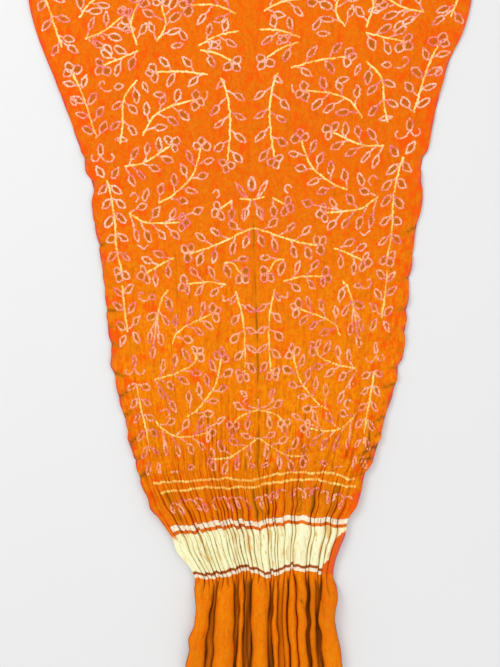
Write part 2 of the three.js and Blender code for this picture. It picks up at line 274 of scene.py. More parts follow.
def sway(from_, across):
    """How far a point of a gathered end hangs lower than its distance along the cloth."""
    entering = eased(from_, FIELD_END, SWAY_FULL_AT)
    changing = eased(from_, BAND_START + 20, BAND_END - 10)
    leaving = 1 - 0.6 * eased(from_, BAND_END, HALF_LENGTH)
    hang = upper_sway(across) * (1 - changing) + lower_sway(across) * changing
    wiggle = 1.7 * folding(across * 34, 20 + changing * 1.3) + 0.9 * folding(across * 80, 24.5)
    stepped = folding(rib_number(across) * 3.37, 30 + changing * 2)
    wiggle = wiggle + (2.2 + changing) * stepped - 1.6 * ribs(across)[0]
    return entering * leaving * (hang + wiggle * eased(from_, 880, 960))


def ribs(across):
    """The gathered ribs: their share of the full height, and how deep in a crease each place is, for the
    painted shade there.
    """
    edges = np.array([0.0] + [row[0] for row in GATHERS])
    shares = np.array([row[1] for row in GATHERS])
    cuts = np.array([1.0] + [row[2] for row in GATHERS])
    last = len(shares) - 1
    i = np.clip(np.searchsorted(edges, across, side="right") - 1, 0, last)
    t = (across - edges[i]) / (edges[i + 1] - edges[i])
    t = np.where(i == 0, 0.5 + t / 2, np.where(i == last, t / 2, t))
    arch = np.sqrt(np.clip(1 - np.abs(2 * t - 1) ** 2.6, 0, 1))
    cut = np.where(t < 0.5, cuts[i], cuts[i + 1])
    deep = 0.55 + 0.45 * cut
    neighbour = np.clip(np.where(t < 0.5, i - 1, i + 1), 0, last)
    rise = shares[i] * arch + (1 - deep) * (1 - arch) * (shares[i] + shares[neighbour]) / 2
    return rise, (0.28 + 0.72 * cut) * (1 - arch)


def crinkles(from_, x, width):
    """The fine lengthwise crinkles: how deep each point lies in one, and how dark it shows as dye and painted
    shade, both 0 to 1.
    """
    random = np.random.default_rng(21)
    smooth = np.ones(np.broadcast(from_, x).shape)
    dye_and_shade = np.zeros(smooth.shape)
    middle = (left_edge(from_) + right_edge(from_)) / 2
    share = crinkle_dye_and_shade(from_)
    stroke = 1.15 * np.clip(width / 600, 0.62, 1)
    for line in range(CRINKLE_LINES):
        across = (line + 0.5 + random.uniform(-0.36, 0.36)) / CRINKLE_LINES - 0.5
        starts = random.choice([0, 120, 300, 430, 560])
        sharp = random.uniform(1.2, 2.4)
        wander = 2.2 * wandering(from_ / 75, line * 7.31) + 1.0 * wandering(from_ / 19, line * 3.17 + 50)
        strength = np.clip(0.42 + 1.0 * folding(from_ / 34, line * 5.13 + 7), 0, 1)
        strength = strength * eased(from_, starts - 90, starts + 150)
        # How dark each crinkle shows: partly dye, partly painted shade in its hollow
        shown = np.clip(share * 1.5 - 1.0 + 1.7 * folding(from_ / 12, line * 9.71 + 31), 0, 1)
        shown = shown * random.uniform(0.35, 1.0)
        away = np.abs(x - middle - across * width - wander)
        smooth = smooth * (1 - strength * np.exp(-away / sharp))
        dye_and_shade = np.maximum(dye_and_shade, shown * np.exp(-((away / stroke) ** 2)))
    return 1 - smooth, dye_and_shade


def creases(from_, x):
    """The listed creases, in millimetres of depth."""
    deep = np.zeros(np.broadcast(from_, x).shape)
    fold = centre_fold(from_)
    for right, place, length, depth in CREASES:
        along = (from_ - place * PIXEL) / (length * PIXEL / 2)
        wander = 1.2 * wandering(from_ / 24, place * 1.7 + right)
        away = np.abs(x - fold - right * PIXEL - wander)
        deep = np.maximum(deep, depth * np.exp(-away / 2.0) * np.clip(1 - along**2, 0, 1) ** 0.5)
    return deep


def tucks(from_, x, left, right):
    """The short tucks that draw the selvedges in, in millimetres of depth."""
    deep = np.zeros(np.broadcast(from_, x).shape)
    for side, place, reach, slope, depth in TUCKS:
        inwards = x - left if side < 0 else right - x
        away = np.abs(from_ - place * PIXEL - slope * inwards)
        fade = np.clip(1 - inwards / (reach * PIXEL), 0, 1) ** 0.6
        deep = np.maximum(deep, depth * np.exp(-away / 4.0) * fade)
    return deep


def kept_straight(from_, across):
    """How far the creases of the gathers and the band keep off the bulges of the selvedges."""
    shift = np.zeros(np.broadcast(from_, across).shape)
    for start, stop in ((GATHERS_START, BAND_START), (BAND_START, BAND_END)):
        t = np.clip((from_ - start) / (stop - start), 0, 1)
        for edge, inwards in ((left_edge, across), (right_edge, 1 - across)):
            straight = edge(start) * (1 - t) + edge(stop) * t
            bulge = np.where((t > 0) & (t < 1), straight - edge(from_), 0)
            shift += bulge * (1 - np.exp(-inwards / 0.07)) * (1 - inwards)
    return shift


def laid_cloth(from_, across):
    """Points of the cloth's face down to the lower edge of the band, and how deep in a crease each is, as
    painted shade with some dye.
    """
    from_, across = np.broadcast_arrays(np.asarray(from_, float), np.asarray(across, float))
    left, right = selvedges(from_)
    x = left + (right - left) * across
    width = right_edge(from_) - left_edge(from_)
    gathered = eased(from_, 780, BAND_START)
    fine, dye_and_shade = crinkles(from_, x, width)
    by_hand = creases(from_, x)
    edge_tucks = tucks(from_, x, left, right)
    depth = crinkle_depth(from_)
    rib, hollow = ribs(across)
    rise = rib_rise(from_) * rib
    off_middle = eased(from_, 0, 40)
    relief = depth * (1 - fine * off_middle)
    low = 0.5 + 0.5 * folding(x / 55, from_ / 80) + 0.25 * folding(x / 23, from_ / 31 + 40)
    swell = eased(from_, 0, 500) * 0.9 * low * (1 - gathered)
    selvedge = np.exp(-np.minimum(x - left, right - x) / 7.0)
    edge_wave = folding(from_ / 22, np.where(across < 0.5, 60.0, 71.0)) * off_middle
    lift = (1.6 + 1.4 * edge_wave) * (1 - gathered) * selvedge
    down = np.maximum(by_hand, edge_tucks)
    z = REST + np.maximum(rise + relief + swell + lift - down, 0.05 * relief)
    jitter = 1.2 * wandering(across * 26, from_ / 60) + 0.7 * wandering(across * 70, from_ / 24 + 60)
    x = x + gathered * (1 - 0.5 * eased(from_, 1040, 1066)) * jitter + kept_straight(from_, across)
    y = -(from_ + sway(from_, across))
    # The crease mask paints shade in the creases, the tucks, the rib hollows and between the ribs, and adds
    # the crinkles' dye and the dye seeped under the binding
    crease = np.clip(np.maximum(dye_and_shade, np.maximum(by_hand / 1.9, edge_tucks / 1.15)), 0, 1)
    in_gathers = 0.9 * eased(from_, 894, 914) * (1 - eased(from_, 958, 968))
    for middle, reach, dark in GATHER_SHADOWS:
        ragged = 1.25 * reach * (1 + 0.5 * folding(from_ / 11, middle * 90))
        shade = dark * np.exp(-(((across - middle) / ragged) ** 2))
        crease = np.maximum(crease, shade * in_gathers)
    for middle, place, reach, length, dark in SEEPED:
        ragged = reach * (1 + 0.7 * folding(from_ / 8, middle * 70))
        shade = dark * np.exp(-(((across - middle) / ragged) ** 2) - np.abs((from_ - place) / length) ** 4)
        crease = np.maximum(crease, shade)
    hollow = np.clip(hollow * 1.6 - 0.5, 0, 1) * eased(from_, 892, 930) * 0.95
    crease = np.maximum(crease, hollow)
    return np.stack([x, y, z], -1), crease


def fold_profile(rows, height, home):
    """The folds of a plain end in section: share across, height, share across at the band, and painted shade,
    darker towards the foot of each fold.
    """
    turn = np.linspace(math.pi, 0, 33)
    share_x, share_z = np.cos(turn), np.sin(turn)
    xs, zs, homes, fold_shades = [], [], [], []
    for (start, stop, rise, tone), (home_start, home_stop) in zip(rows, home):
        half = (stop - start) / 2
        bulge = 0.004 * np.sign(share_x) * np.sin(np.pi * share_z**0.8)
        x = (start + stop) / 2 + half * np.sign(share_x) * np.abs(share_x) ** 0.75 + bulge
        z = REST + rise * height * np.abs(share_z) ** 0.75
        length = np.concatenate([[0], np.cumsum(np.hypot(np.diff(x) * TAIL_WIDTH, np.diff(z)))])
        xs.append(x)
        zs.append(z)
        homes.append(home_start + (home_stop - home_start) * length / length[-1])
        # Painted shade: darker towards the foot of each fold, and darker all over on the folds marked dark
        fold_shades.append(tone + (1 - tone) * (1 - eased(np.abs(share_z), 0.3, 0.8)))
    return np.concatenate(xs), np.concatenate(zs), np.concatenate(homes), np.concatenate(fold_shades)


def tail_creases(from_, share):
    """The creases that cross the folds of a plain end, from 0 to 1."""
    deep = np.zeros_like(share)
    for start, first, stop, last, depth in TAIL_CREASES:
        t = (from_ - start) / (stop - start)
        if 0 < t < 1:
            away = np.abs(share - first - (last - first) * t) * TAIL_CREASE_WIDTH
            deep = np.maximum(deep, depth * np.sin(math.pi * t) ** 0.5 * np.exp(-away / 3.2))
    return deep


def tail_cloth(from_, band_edge, band_crease, across):
    """Points of a plain end, from the band's own edge to the hem, and how deep each lies in a fold, as
    painted shade.
    """
    home = [(row[0], row[1]) for row in TAIL_FOLDS]
    points, depths = [], []
    for place in from_:
        down = eased(place, BAND_END, TAIL_SETTLED_AT)
        wobble = 0.011 * down * folding(np.arange(len(TAIL_FOLDS) + 1) * 5.7 + 2, place / 24)
        rows = [
            (a + (c - a) * down + wobble[k], b + (d - b) * down + wobble[k + 1], rise, tone)
            for k, (a, b, c, d, rise, tone) in enumerate(TAIL_FOLDS)
        ]
        height = TAIL_TOP_SHARE + (1 - TAIL_TOP_SHARE) * eased(place, BAND_END, TAIL_FULL_AT)
        share, z, at_band, tone = fold_profile(rows, height, home)
        share, z, tone = (np.interp(across, at_band, values) for values in (share, z, tone))
        left, right = (np.interp(place, [BAND_END, HALF_LENGTH], [edge(BAND_END), edge(HALF_LENGTH)])
                       for edge in (left_edge, right_edge))
        x = left + (right - left) * share + (left_edge(place) - left) * np.exp(-np.maximum(share, 0) / 0.09)
        x = x + (right_edge(place) - right) * np.exp(-np.maximum(1 - share, 0) / 0.09)
        dent = folding(across * 30, place / 45 + 90) * 1.5 + folding(across * 70, place / 22) * 0.7
        crossing = tail_creases(place, share)
        z = REST + np.maximum(z - REST + dent * eased(z, 3, 9) - 2.2 * crossing, 0)
        x = x + 0.9 * folding(across * 12 + 3, place / 60) * eased(place, BAND_END, BAND_END + 50)
        y = -(place + sway(place, np.clip(share, 0, 1)))
        row = np.stack([x, y * np.ones_like(x), z], -1)
        joined = eased(place, BAND_END, BAND_END + 25 + 13 * folding(across * 24, 55.3))
        still = np.zeros_like(joined)
        slack = np.stack([still, (1 - joined) * (BAND_END - place), still], -1)
        points.append(band_edge * (1 - joined)[:, None] + row * joined[:, None] + slack)
        # Painted shade: low in the folds, on the low folds between the others and in the creases that cross
        # them, broken by streaks
        low = np.maximum(tone, crossing)
        streak = 0.78 + 0.4 * folding(across * 210, place / 40 + 11)
        low = np.clip(low * np.where(low > 0.3, streak, 1), 0, 1)
        depths.append(band_crease * (1 - joined) + low * joined)
    points, depths = np.array(points), np.array(depths)
    points[..., 2] += HEM_LIFT * eased(from_, HALF_LENGTH - HEM_DEPTH - 1, HALF_LENGTH - HEM_DEPTH)[:, None]
    return points, depths


def columns(per_rib):
    """Places across the cloth, closer together at the feet of the ribs than at their tops."""
    edges = [0.0] + [row[0] for row in GATHERS]
    places = [0.0]
    for start, stop in zip(edges[:-1], edges[1:]):
        t = np.arange(1, per_rib + 1) / per_rib
        t = t - 0.55 * np.sin(2 * np.pi * t) / (2 * np.pi)
        places.extend(start + (stop - start) * t)
    return np.array(places)


def normals_of(points):
    """The direction that a grid of points faces, at each of them."""
    down, along = np.gradient(points, axis=0), np.gradient(points, axis=1)
    normal = np.cross(down, along)
    return normal / np.maximum(np.linalg.norm(normal, axis=-1, keepdims=True), 1e-9)


def turned(points):
    """Points of the near end, turned half a turn about the middle of the cloth."""
    return points * [-1, -1, 1]


def arc_shares(points):
    """How far along the cut each point of a row is, from 0 to 1."""
    steps = np.linalg.norm(np.diff(points[..., [0, 2]], axis=-2), axis=-1)
    length = np.concatenate([np.zeros_like(steps[..., :1]), np.cumsum(steps, -1)], -1)
    return length / length[..., -1:]


def cloth_piece(name, face, under, from_, cut_places, masks, keep=(1, 1)):
    """A closed thin shell: its face as a full grid, its underside on every few rows and columns."""
    rows, cols = face.shape[:2]
    keep_rows = sorted(set(range(0, rows, keep[0])) | {rows - 1})
    keep_cols = sorted(set(range(0, cols, keep[1])) | {cols - 1})
    below = under[np.ix_(keep_rows, keep_cols)]
    points = np.concatenate([face.reshape(-1, 3), below.reshape(-1, 3)]) * MM
    top = np.arange(rows * cols).reshape(rows, cols)
    low = rows * cols + np.arange(below.shape[0] * below.shape[1]).reshape(below.shape[:2])

    def quads(grid):
        a, b, c, d = grid[:-1, :-1], grid[1:, :-1], grid[1:, 1:], grid[:-1, 1:]
        return np.stack([a, b, c, d], -1).reshape(-1, 4)

    faces = quads(top).tolist() + quads(low)[:, ::-1].tolist()
    rims = []
    for k, (i, j) in enumerate(zip(keep_rows[:-1], keep_rows[1:])):
        rims.append((0, [*top[i:j + 1, 0][::-1].tolist(), low[k, 0], low[k + 1, 0]]))
        rims.append((1, [*top[i:j + 1, -1].tolist(), low[k + 1, -1], low[k, -1]]))
    for k, (i, j) in enumerate(zip(keep_cols[:-1], keep_cols[1:])):
        rims.append((2, [*top[0, i:j + 1].tolist(), low[0, k + 1], low[0, k]]))
        rims.append((3, [*top[-1, i:j + 1][::-1].tolist(), low[-1, k], low[-1, k + 1]]))
    lanes = np.concatenate([np.full(len(faces), -1), [lane for lane, _ in rims]]).astype(int)
    faces += [face for _, face in rims]

    mesh = bpy.data.meshes.new(name)
    mesh.from_pydata(points.tolist(), [], faces)
    mesh.polygons.foreach_set("use_smooth", [True] * len(mesh.polygons))
    piece = bpy.data.objects.new(name, mesh)
    bpy.context.scene.collection.objects.link(piece)

    ends = np.zeros(len(mesh.edges) * 2, int)
    mesh.edges.foreach_get("vertices", ends)
    ends = ends.reshape(-1, 2)
    rim_of = np.zeros(len(points), int)
    for border in (top[0], top[-1], top[:, 0], top[:, -1]):
        rim_of[border] = 1
    for border in (low[0], low[-1], low[:, 0], low[:, -1]):
        rim_of[border] = 2
    edge_is_sharp = (rim_of[ends[:, 0]] == rim_of[ends[:, 1]]) & (rim_of[ends[:, 0]] > 0)
    sharp = mesh.attributes.new("sharp_edge", "BOOLEAN", "EDGE")
    sharp.data.foreach_set("value", edge_is_sharp)

    across_cut = np.broadcast_to(cut_places, (rows, cols)) * CUT_WIDTH
    down_cut = np.broadcast_to(np.asarray(from_)[:, None], (rows, cols))
    cut = np.stack([across_cut, down_cut], -1)
    on_cut = np.concatenate([cut.reshape(-1, 2), cut[np.ix_(keep_rows, keep_cols)].reshape(-1, 2)]) * MM
    corners = np.zeros(len(mesh.loops), int)
    mesh.loops.foreach_get("vertex_index", corners)
    sizes = np.zeros(len(mesh.polygons), int)
    mesh.polygons.foreach_get("loop_total", sizes)
    bake = bake_places(on_cut, corners, np.repeat(lanes, sizes), top.size)
    mesh.uv_layers.new(name="OFBake").data.foreach_set("uv", bake)
    mesh.uv_layers.new(name="Cut").data.foreach_set("uv", on_cut[corners].ravel())
    for mask, values in masks.items():
        on_points = np.concatenate([values.reshape(-1), values[np.ix_(keep_rows, keep_cols)].reshape(-1)])
        mesh.attributes.new(mask, "FLOAT", "POINT").data.foreach_set("value", on_points.astype(np.float32))
    return piece


def bake_places(on_cut, corners, lanes, face_points):
    """A map with room for both sides of the cloth and for its four rims, none over another."""
    low, high = on_cut.min(0), on_cut.max(0)
    share = ((on_cut - low) / (high - low))[corners]
    underneath = corners >= face_points
    places = share * [0.98, 0.46] + [0.01, 0.01]
    places[underneath, 1] += 0.48
    for lane in range(4):
        rim = lanes == lane
        along = share[rim, 1] if lane < 2 else share[rim, 0]
        places[rim, 0] = 0.01 + 0.98 * along
        places[rim, 1] = 0.955 + 0.011 * lane + np.where(underneath[rim], 0.007, 0.0)
    return places.ravel()


# The vines, in pixels right of the centre fold and away from the middle of the cloth. Each spray
# has its stem from the root, its flower or None, and its leaves. Both halves carry them.
SPRAYS = [
    # The border vine beside the selvedge, in five runs
    ([(207, 4), (202, 22), (194, 44), (187, 64)], None,
     [(208, 22), (191, 16), (203, 42), (186, 36), (194, 67), (176, 66), (180, 56)]),
    ([(153.5, 155), (159, 137), (163, 123), (169, 106), (176, 91)], (179, 83),
     [(180, 101), (165, 98), (172, 117), (157, 115), (168, 132), (150, 129), (162.5, 147), (146.5, 144)]),
    ([(144.8, 197), (141, 213.6), (138, 241.6), (138, 257), (136, 273.5), (132.6, 289)], (134, 292),
     [(149, 206.6), (135.6, 206.6), (145.5, 220.6), (132, 221), (144, 239), (131.7, 235.3),
      (142.6, 256.3), (130.5, 254.4), (142, 273.5), (128.5, 273.5)]),
    ([(128.9, 349), (130.3, 335), (131.7, 318), (133, 303)], None,
     [(137, 309), (126, 305.4), (138.3, 323), (123.8, 324.6), (135.6, 342.4), (119.7, 337.3)]),
    ([(121.3, 401.6), (117.2, 426), (112.3, 446.3), (108.8, 468)], None,
     [(126.7, 404), (112.4, 404.2), (124.8, 420.8), (111.4, 419.5), (121.8, 436), (107.8, 434.8),
      (117.6, 452.7), (104.7, 450), (113.2, 469.2), (102.5, 468)]),
    # The field, in rows from the middle of the cloth to the gathers
    ([(14, 30), (34, 22), (58, 22)], (65, 22), [(24, 12), (40, 9), (30, 36), (48, 36)]),
    ([(92, 58), (84, 42), (88, 22)], (89, 14), [(98, 44), (101, 30), (75, 48), (74, 34), (76, 20)]),
    ([(164, 56), (146, 48), (128, 34)], (122, 29),
     [(158, 40), (143, 34), (150, 62), (134, 54), (120, 46)]),
    ([(50, 62), (30, 52), (10, 48)], None, [(40, 46), (24, 42), (34, 62), (18, 60)]),
    ([(112, 62), (118, 40), (112, 20)], (110, 13), [(126, 44), (124, 28), (106, 46), (102, 10)]),
    ([(170, 34), (160, 20), (146, 10)], None, [(170, 18), (154, 28), (146, 22)]),
    ([(112, 68), (128.6, 75), (144.7, 82)], (149, 86), [(143, 71), (129, 67), (131.5, 87.6), (117, 80)]),
    ([(41.3, 91.4), (66.8, 88.5), (92.6, 89)], (98.8, 90.7),
     [(84.9, 78.4), (62, 78.4), (78, 96.8), (55.8, 98.3)]),
    ([(48.7, 67), (33.6, 70), (17.5, 77)], (13, 84), [(37.4, 78.4), (33.6, 61)]),
    ([(112.5, 96.8), (125, 115), (128, 147), (130.2, 161)], None,
     [(113.4, 113.6), (132.8, 122.8), (117, 126), (134.8, 142.7), (117.3, 147.3), (129, 156.5)]),
    ([(107.7, 152), (96.3, 133.5), (82.3, 124.4), (56, 116.7)], (50, 118.2),
     [(103, 126), (86.7, 116.7), (71.4, 112), (89, 144.2), (76.9, 138), (65.8, 132)]),
    ([(28.5, 94.5), (22.5, 109), (19.8, 133.5), (21, 157), (23.3, 178)], (25, 186.3),
     [(28.7, 101.4), (35, 127.4), (30.8, 141.2), (31.4, 164), (10, 113.6), (10.6, 133.5),
      (9.8, 155), (12.7, 175)]),
    ([(127, 183.3), (107, 179.5), (80.4, 162.6)], (74.3, 158),
     [(115.8, 170.3), (103.4, 165.7), (91.8, 161), (110.3, 191.7), (96.3, 185.6), (83.7, 176.4),
      (119.7, 197.8)]),
    ([(93.6, 220), (80.4, 213), (61.3, 196), (54.8, 182.5), (49.9, 165.7)], (48.2, 158),
     [(90.8, 205.5), (77.5, 196.3), (68, 185.6), (61.7, 173.3), (42.5, 178), (49.2, 193.2),
      (60.4, 207.8), (69.7, 217.7)]),
    ([(20, 217.3), (32, 225.5)], (38.3, 229.8), [(21, 231.4)]),
    ([(0.5, 217), (6, 216), (12.5, 216)], None, [(7.5, 231)]),
    ([(123.6, 230.2), (110, 238.5), (91, 240.4), (73, 239)], (67, 240),
     [(54.7, 227.6), (117, 253), (105.5, 253), (91.5, 251.8), (78, 251.8), (110.7, 223.8),
      (96.2, 228.9), (79.6, 230.2)]),
    ([(0, 244.8), (14.7, 251.2), (41, 263.3), (62.6, 269.7)], (70.3, 267.2),
     [(19.8, 242.5), (37.8, 249), (53.3, 254), (7.6, 259), (21, 265), (39.8, 274), (54.4, 277)]),
    ([(80, 274.8), (94.5, 282), (108, 290)], (113.1, 292.7),
     [(95.2, 271), (107, 277.4), (99.2, 297.8), (86.3, 288.8)]),
    ([(29.2, 301.6), (48.3, 299), (67.4, 301)], (73.9, 304),
     [(43, 288.8), (60.9, 288.8), (56.2, 308), (41, 309.2)]),
    ([(30.5, 280), (22.2, 280.5), (14.2, 290)], (8.8, 297.8), [(11.3, 276), (27, 288.5)]),
    ([(86.8, 306.7), (93.5, 315.6), (101.3, 345)], None,
     [(86.6, 322), (104.8, 333.5), (91, 337), (107.4, 353.9), (96, 356.4), (104.5, 369.2)]),
    ([(84.7, 361.5), (81.3, 351.3), (68.7, 342.4), (44.2, 331)], (36.5, 328.4),
     [(80.8, 338.6), (66.4, 329.7), (52.9, 324.6), (69.2, 356.4), (57.5, 348.8), (48.3, 342.4)]),
    ([(19.3, 308), (14.8, 325.8), (12.5, 339.9), (12.2, 375.6), (13.6, 390)], (17.4, 396.5),
     [(21.4, 316), (21.4, 337.3), (22, 355.2), (19, 373), (5.8, 325.8), (5.2, 347.5),
      (5.3, 366), (6, 385)]),
    ([(103.4, 396.5), (82.2, 390.2), (62.9, 380), (60.8, 372.3)], (56.2, 368.5),
     [(94.4, 382.5), (82.6, 377.7), (71.1, 372), (87.5, 402.9), (74, 397.5),
      (61, 390), (97.3, 410), (85.3, 423.3)]),
    ([(71.4, 433.5), (60.4, 425.9), (42.9, 401.6), (36, 376)], (34.7, 369.8),
     [(69.3, 414.4), (58.9, 406.7), (51.1, 396.5), (45.1, 382.5), (29.8, 390), (35.3, 405.5),
      (44.5, 418.2), (49.6, 430.3)]),
    ([(0, 426.5), (17.7, 433.5), (25.4, 441)], (26, 446), [(20.2, 422.7), (10.8, 440)]),
    ([(103.5, 437.4), (95.8, 446.3), (79.4, 454), (64, 452.7), (52.5, 450)], (45.5, 450),
     [(87.4, 438.6), (72.8, 441), (57.5, 439), (38.3, 437.4), (92.2, 466), (80.1, 467),
      (67.4, 466), (56.1, 463)]),
    ([(0.3, 455), (14.4, 465.4), (29.6, 474.3), (44.9, 476.3)], (48.7, 478),
     [(12.5, 453), (25, 459), (37.2, 463), (8.5, 470), (21.4, 480.4), (33, 485)]),
]
# Leaves that stand alone: right of the fold, from, lean in degrees from straight up, length
LONE_LEAVES = [
    (151.5, 189, 35, 13), (136, 190, -35, 13), (0, 200.5, 0, 15), (134.3, 357.7, 150, 13),
    (120.3, 355, -150, 13), (109.7, 485.8, 150, 12), (99.5, 484.6, -160, 12), (67.6, 484, 95, 12),
    (7, 482.5, 95, 10), (106.4, 211.6, -20, 12), (14, 411, 60, 9), (141, 66, 40, 12), (66, 52, 30, 12),
    (72, 62, 100, 12), (176, 118, 30, 11), (90, 112, 80, 12), (104, 104, 20, 11), (150, 166, 4, 12),
    (123, 378, -4, 12), (130.5, 103.5, 105, 10), (103.5, 314.5, 100, 9),
]
# Curls, buds and tendrils, as the points that each passes through
CURLS = [
    [(150, 172), (146, 178), (140, 178), (137, 174), (140, 171)],
    [(150, 172), (154, 178), (159, 177), (159, 171)], [(123, 385), (120, 391), (115, 391), (113, 387)],
    [(123, 385), (127, 391), (132, 390), (131, 385)],
    [(137, 107), (143, 108), (149, 105), (150, 100), (146, 98.5), (144, 101)],
    [(42, 108), (42.5, 114), (47, 119)], [(40, 210), (35, 207), (33, 212), (36, 215)],
    [(123, 213.6), (118, 210), (114, 214), (117, 219)],
    [(108, 317), (113, 318), (117, 314), (115, 309), (111.5, 310.5)],
    [(10, 414.4), (15, 419), (7, 424), (0, 426)], [(98.2, 428.4), (92, 426), (89, 431), (93, 435)],
    [(0, 426), (0, 416)], [(3, 222), (7, 227), (9, 236)],
    [(4.5, 214.5), (8.5, 207), (15.5, 200), (13, 207.5), (6, 215)], [(79, 488.4), (87, 488.4)],
    [(116, 262), (110, 266), (106, 262)], [(144, 56), (150, 52), (156, 56), (152, 62)],
    [(25, 316), (31, 318), (33, 312)],
]
# The two dotted lines across each gathered stretch: distance from the middle, left and right ends
ACROSS_LINES = [(893.0, 0.055, 0.965), (908.0, 0.075, 0.972)]
# How much further from the middle those lines and the paisleys under them run: across, distance
LINES_BEND = [(0, 0), (0.3, 0), (0.52, -1), (0.55, -5), (0.73, -11), (0.82, -9), (0.94, 0), (1, 0)]
lines_bend = curve_through(LINES_BEND, 1)
PAISLEYS = 22
PAISLEY_ROW = 930.0
PAISLEYS_START = 0.075  # where their row starts and how much of the width it takes
PAISLEYS_SPAN = 0.885

DOT_HEIGHT = 0.62
DOT_SUNK = 0.28  # how deep its foot lies in the cloth
DOT_CROWN = 0.3  # how far its flat top is raised at the middle
SHARP_DOT = 1.4  # how much taller a dot stands that has no flat top
# How far off the places lie that give the slope of the cloth under a dot: from, across
SLOPE_REACH = 1.6
SLOPE_REACH_ACROSS = 0.0035
# Where the dots shrink as the cloth is drawn in, and where they grow again at the gathers
SHRINK_START, SHRINK_FULL = 300, 860
SWELL_START, SWELL_FULL = 842, 868
BEAD_PITCH = 2.8
STEM_PITCH = 2.6
LEAF_LENGTH = 13.0
LEAF_WIDTH = 5.9
PETAL_LENGTH = 9.6
STITCH_PITCH = 4.0
STITCH_LENGTH = 2.5
THREAD = 0.22


def smooth_path(points, step=0.5):
    """Points close together on a curve through the given ones."""
    points = np.asarray(points, float)
    length = np.concatenate([[0], np.cumsum(np.linalg.norm(np.diff(points, axis=0), axis=1))])
    if len(points) == 2:
        at = np.linspace(0, 1, max(2, int(length[-1] / step)))[:, None]
        return points[0] * (1 - at) + points[1] * at
    rows = [(run, *point) for run, point in zip(length, points)]
    at = np.linspace(0, length[-1], max(4, int(length[-1] / step)))
    return np.stack([curve_through(rows, 1)(at), curve_through(rows, 2)(at)], -1)


def hand_tied(points, random, reach):
    """A line with the small wanderings of a hand that ties it dot by dot."""
    run = np.concatenate([[0], np.cumsum(np.linalg.norm(np.diff(points, axis=0), axis=1))])
    first, second = random.uniform(0, 400, 2)
    return points + reach * np.stack([wandering(run / 3.6, first), wandering(run / 3.6, second)], -1)


def leaf_outline(centre, along, length, width, skew=0.88, blunt=0.72):
    """The outline of a leaf, pointed or rounder, from its base round to its base again."""
    along = np.asarray(along, float) / np.linalg.norm(along)
    side = np.array([-along[1], along[0]])
    t = np.concatenate([np.linspace(0, 1, 18), np.linspace(1, 0, 18)[1:]])
    which = np.concatenate([np.ones(18), -np.ones(17)])
    half = width / 2 * np.sin(np.pi * t**skew) ** blunt
    base = np.asarray(centre, float) - along * length / 2
    return base + np.outer(t * length, along) + np.outer(which * half, side)


def squeeze(from_pixels):
    """How much narrower the design lies where the cloth is drawn in."""
    return 1 - 0.34 * np.clip((from_pixels - 60) / 440, 0, 1)


def squeezed(shape, centre):
    """A small shape narrowed across the cloth about its own centre."""
    return (shape - centre) * [squeeze(centre[1]), 1] + centre


def vine_lines():
    """Every line of the vines on one half: its points in pixels, its kind, and leaves for their tint."""
    random = np.random.default_rng(8)
    lines, blades = [], []

    def add_leaf(centre, along, length, stalk_from=None):
        centre = np.asarray(centre, float)
        length = length * random.uniform(0.92, 1.08)
        width = LEAF_WIDTH * length / LEAF_LENGTH * random.uniform(0.86, 1.2)
        skew, blunt = random.uniform(0.74, 1.1), random.uniform(0.55, 1.0)
        along = np.asarray(along, float) / np.linalg.norm(along)
        along = along + random.uniform(-0.13, 0.13) * np.array([-along[1], along[0]])
        blade = squeezed(leaf_outline(centre, along, length, width, skew, blunt), centre)
        blade = hand_tied(blade, random, 0.75)
        lines.append((blade, "leaf"))
        blades.append(blade)
        if stalk_from is not None:
            stalk = np.linspace(stalk_from, blade[0], 12)
            lines.append((hand_tied(stalk[1:], random, 0.4), "leaf"))

    for stem, flower, leaves in SPRAYS:
        path = hand_tied(smooth_path(stem), random, 0.5)
        lines.append((path, "stem"))
        run = np.concatenate([[0], np.cumsum(np.linalg.norm(np.diff(path, axis=0), axis=1))])
        for leaf in leaves:
            away = np.linalg.norm(path - leaf, axis=1)
            nearest = np.argmin(away)
            joint = path[np.searchsorted(run, max(0, run[nearest] - 0.85 * away[nearest]))]
            add_leaf(leaf, leaf - joint, LEAF_LENGTH, joint)
        if flower is not None:
            tip = path[-1]
            out = np.asarray(flower, float) - tip
            heading = math.atan2(out[1], out[0])
            heart = tip + out * 0.3
            for k in range(3):
                turn = heading + math.radians((k - 1) * 88) + random.uniform(-0.22, 0.22)
                along = np.array([math.cos(turn), math.sin(turn)])
                length = PETAL_LENGTH * random.uniform(0.88, 1.14)
                width = length * random.uniform(0.66, 0.88)
                petal = leaf_outline(heart + along * (length / 2 + 0.4), along, length, width, 0.95, 0.6)
                petal = hand_tied(squeezed(petal, heart), random, 0.8)
                lines.append((petal, "leaf"))
                blades.append(petal)
    for right, place, lean, length in LONE_LEAVES:
        along = [math.sin(math.radians(lean)), -math.cos(math.radians(lean))]
        add_leaf((right, place), along, length)
    for curl in CURLS:
        lines.append((hand_tied(smooth_path(curl), random, 0.5), "leaf"))
    return lines, blades


def cloth_place(pixels, side):
    """Where a point of the vines lies on the cloth: from and across."""
    out, away = pixels[:, 0], pixels[:, 1]
    if side > 0:
        lift = right_rise(away) * out * np.clip(away / 30, 0, 1)
        out = out * (1 + (right_width(away) - 1) * out / 130)
        away = away - lift
    right, y = out * PIXEL * side, away * PIXEL
    from_ = y.copy()
    for _ in range(3):
        left, far = selvedges(from_)
        across = (centre_fold(from_) + right - left) / (far - left)
        from_ = y - sway(from_, across)
    return from_, across


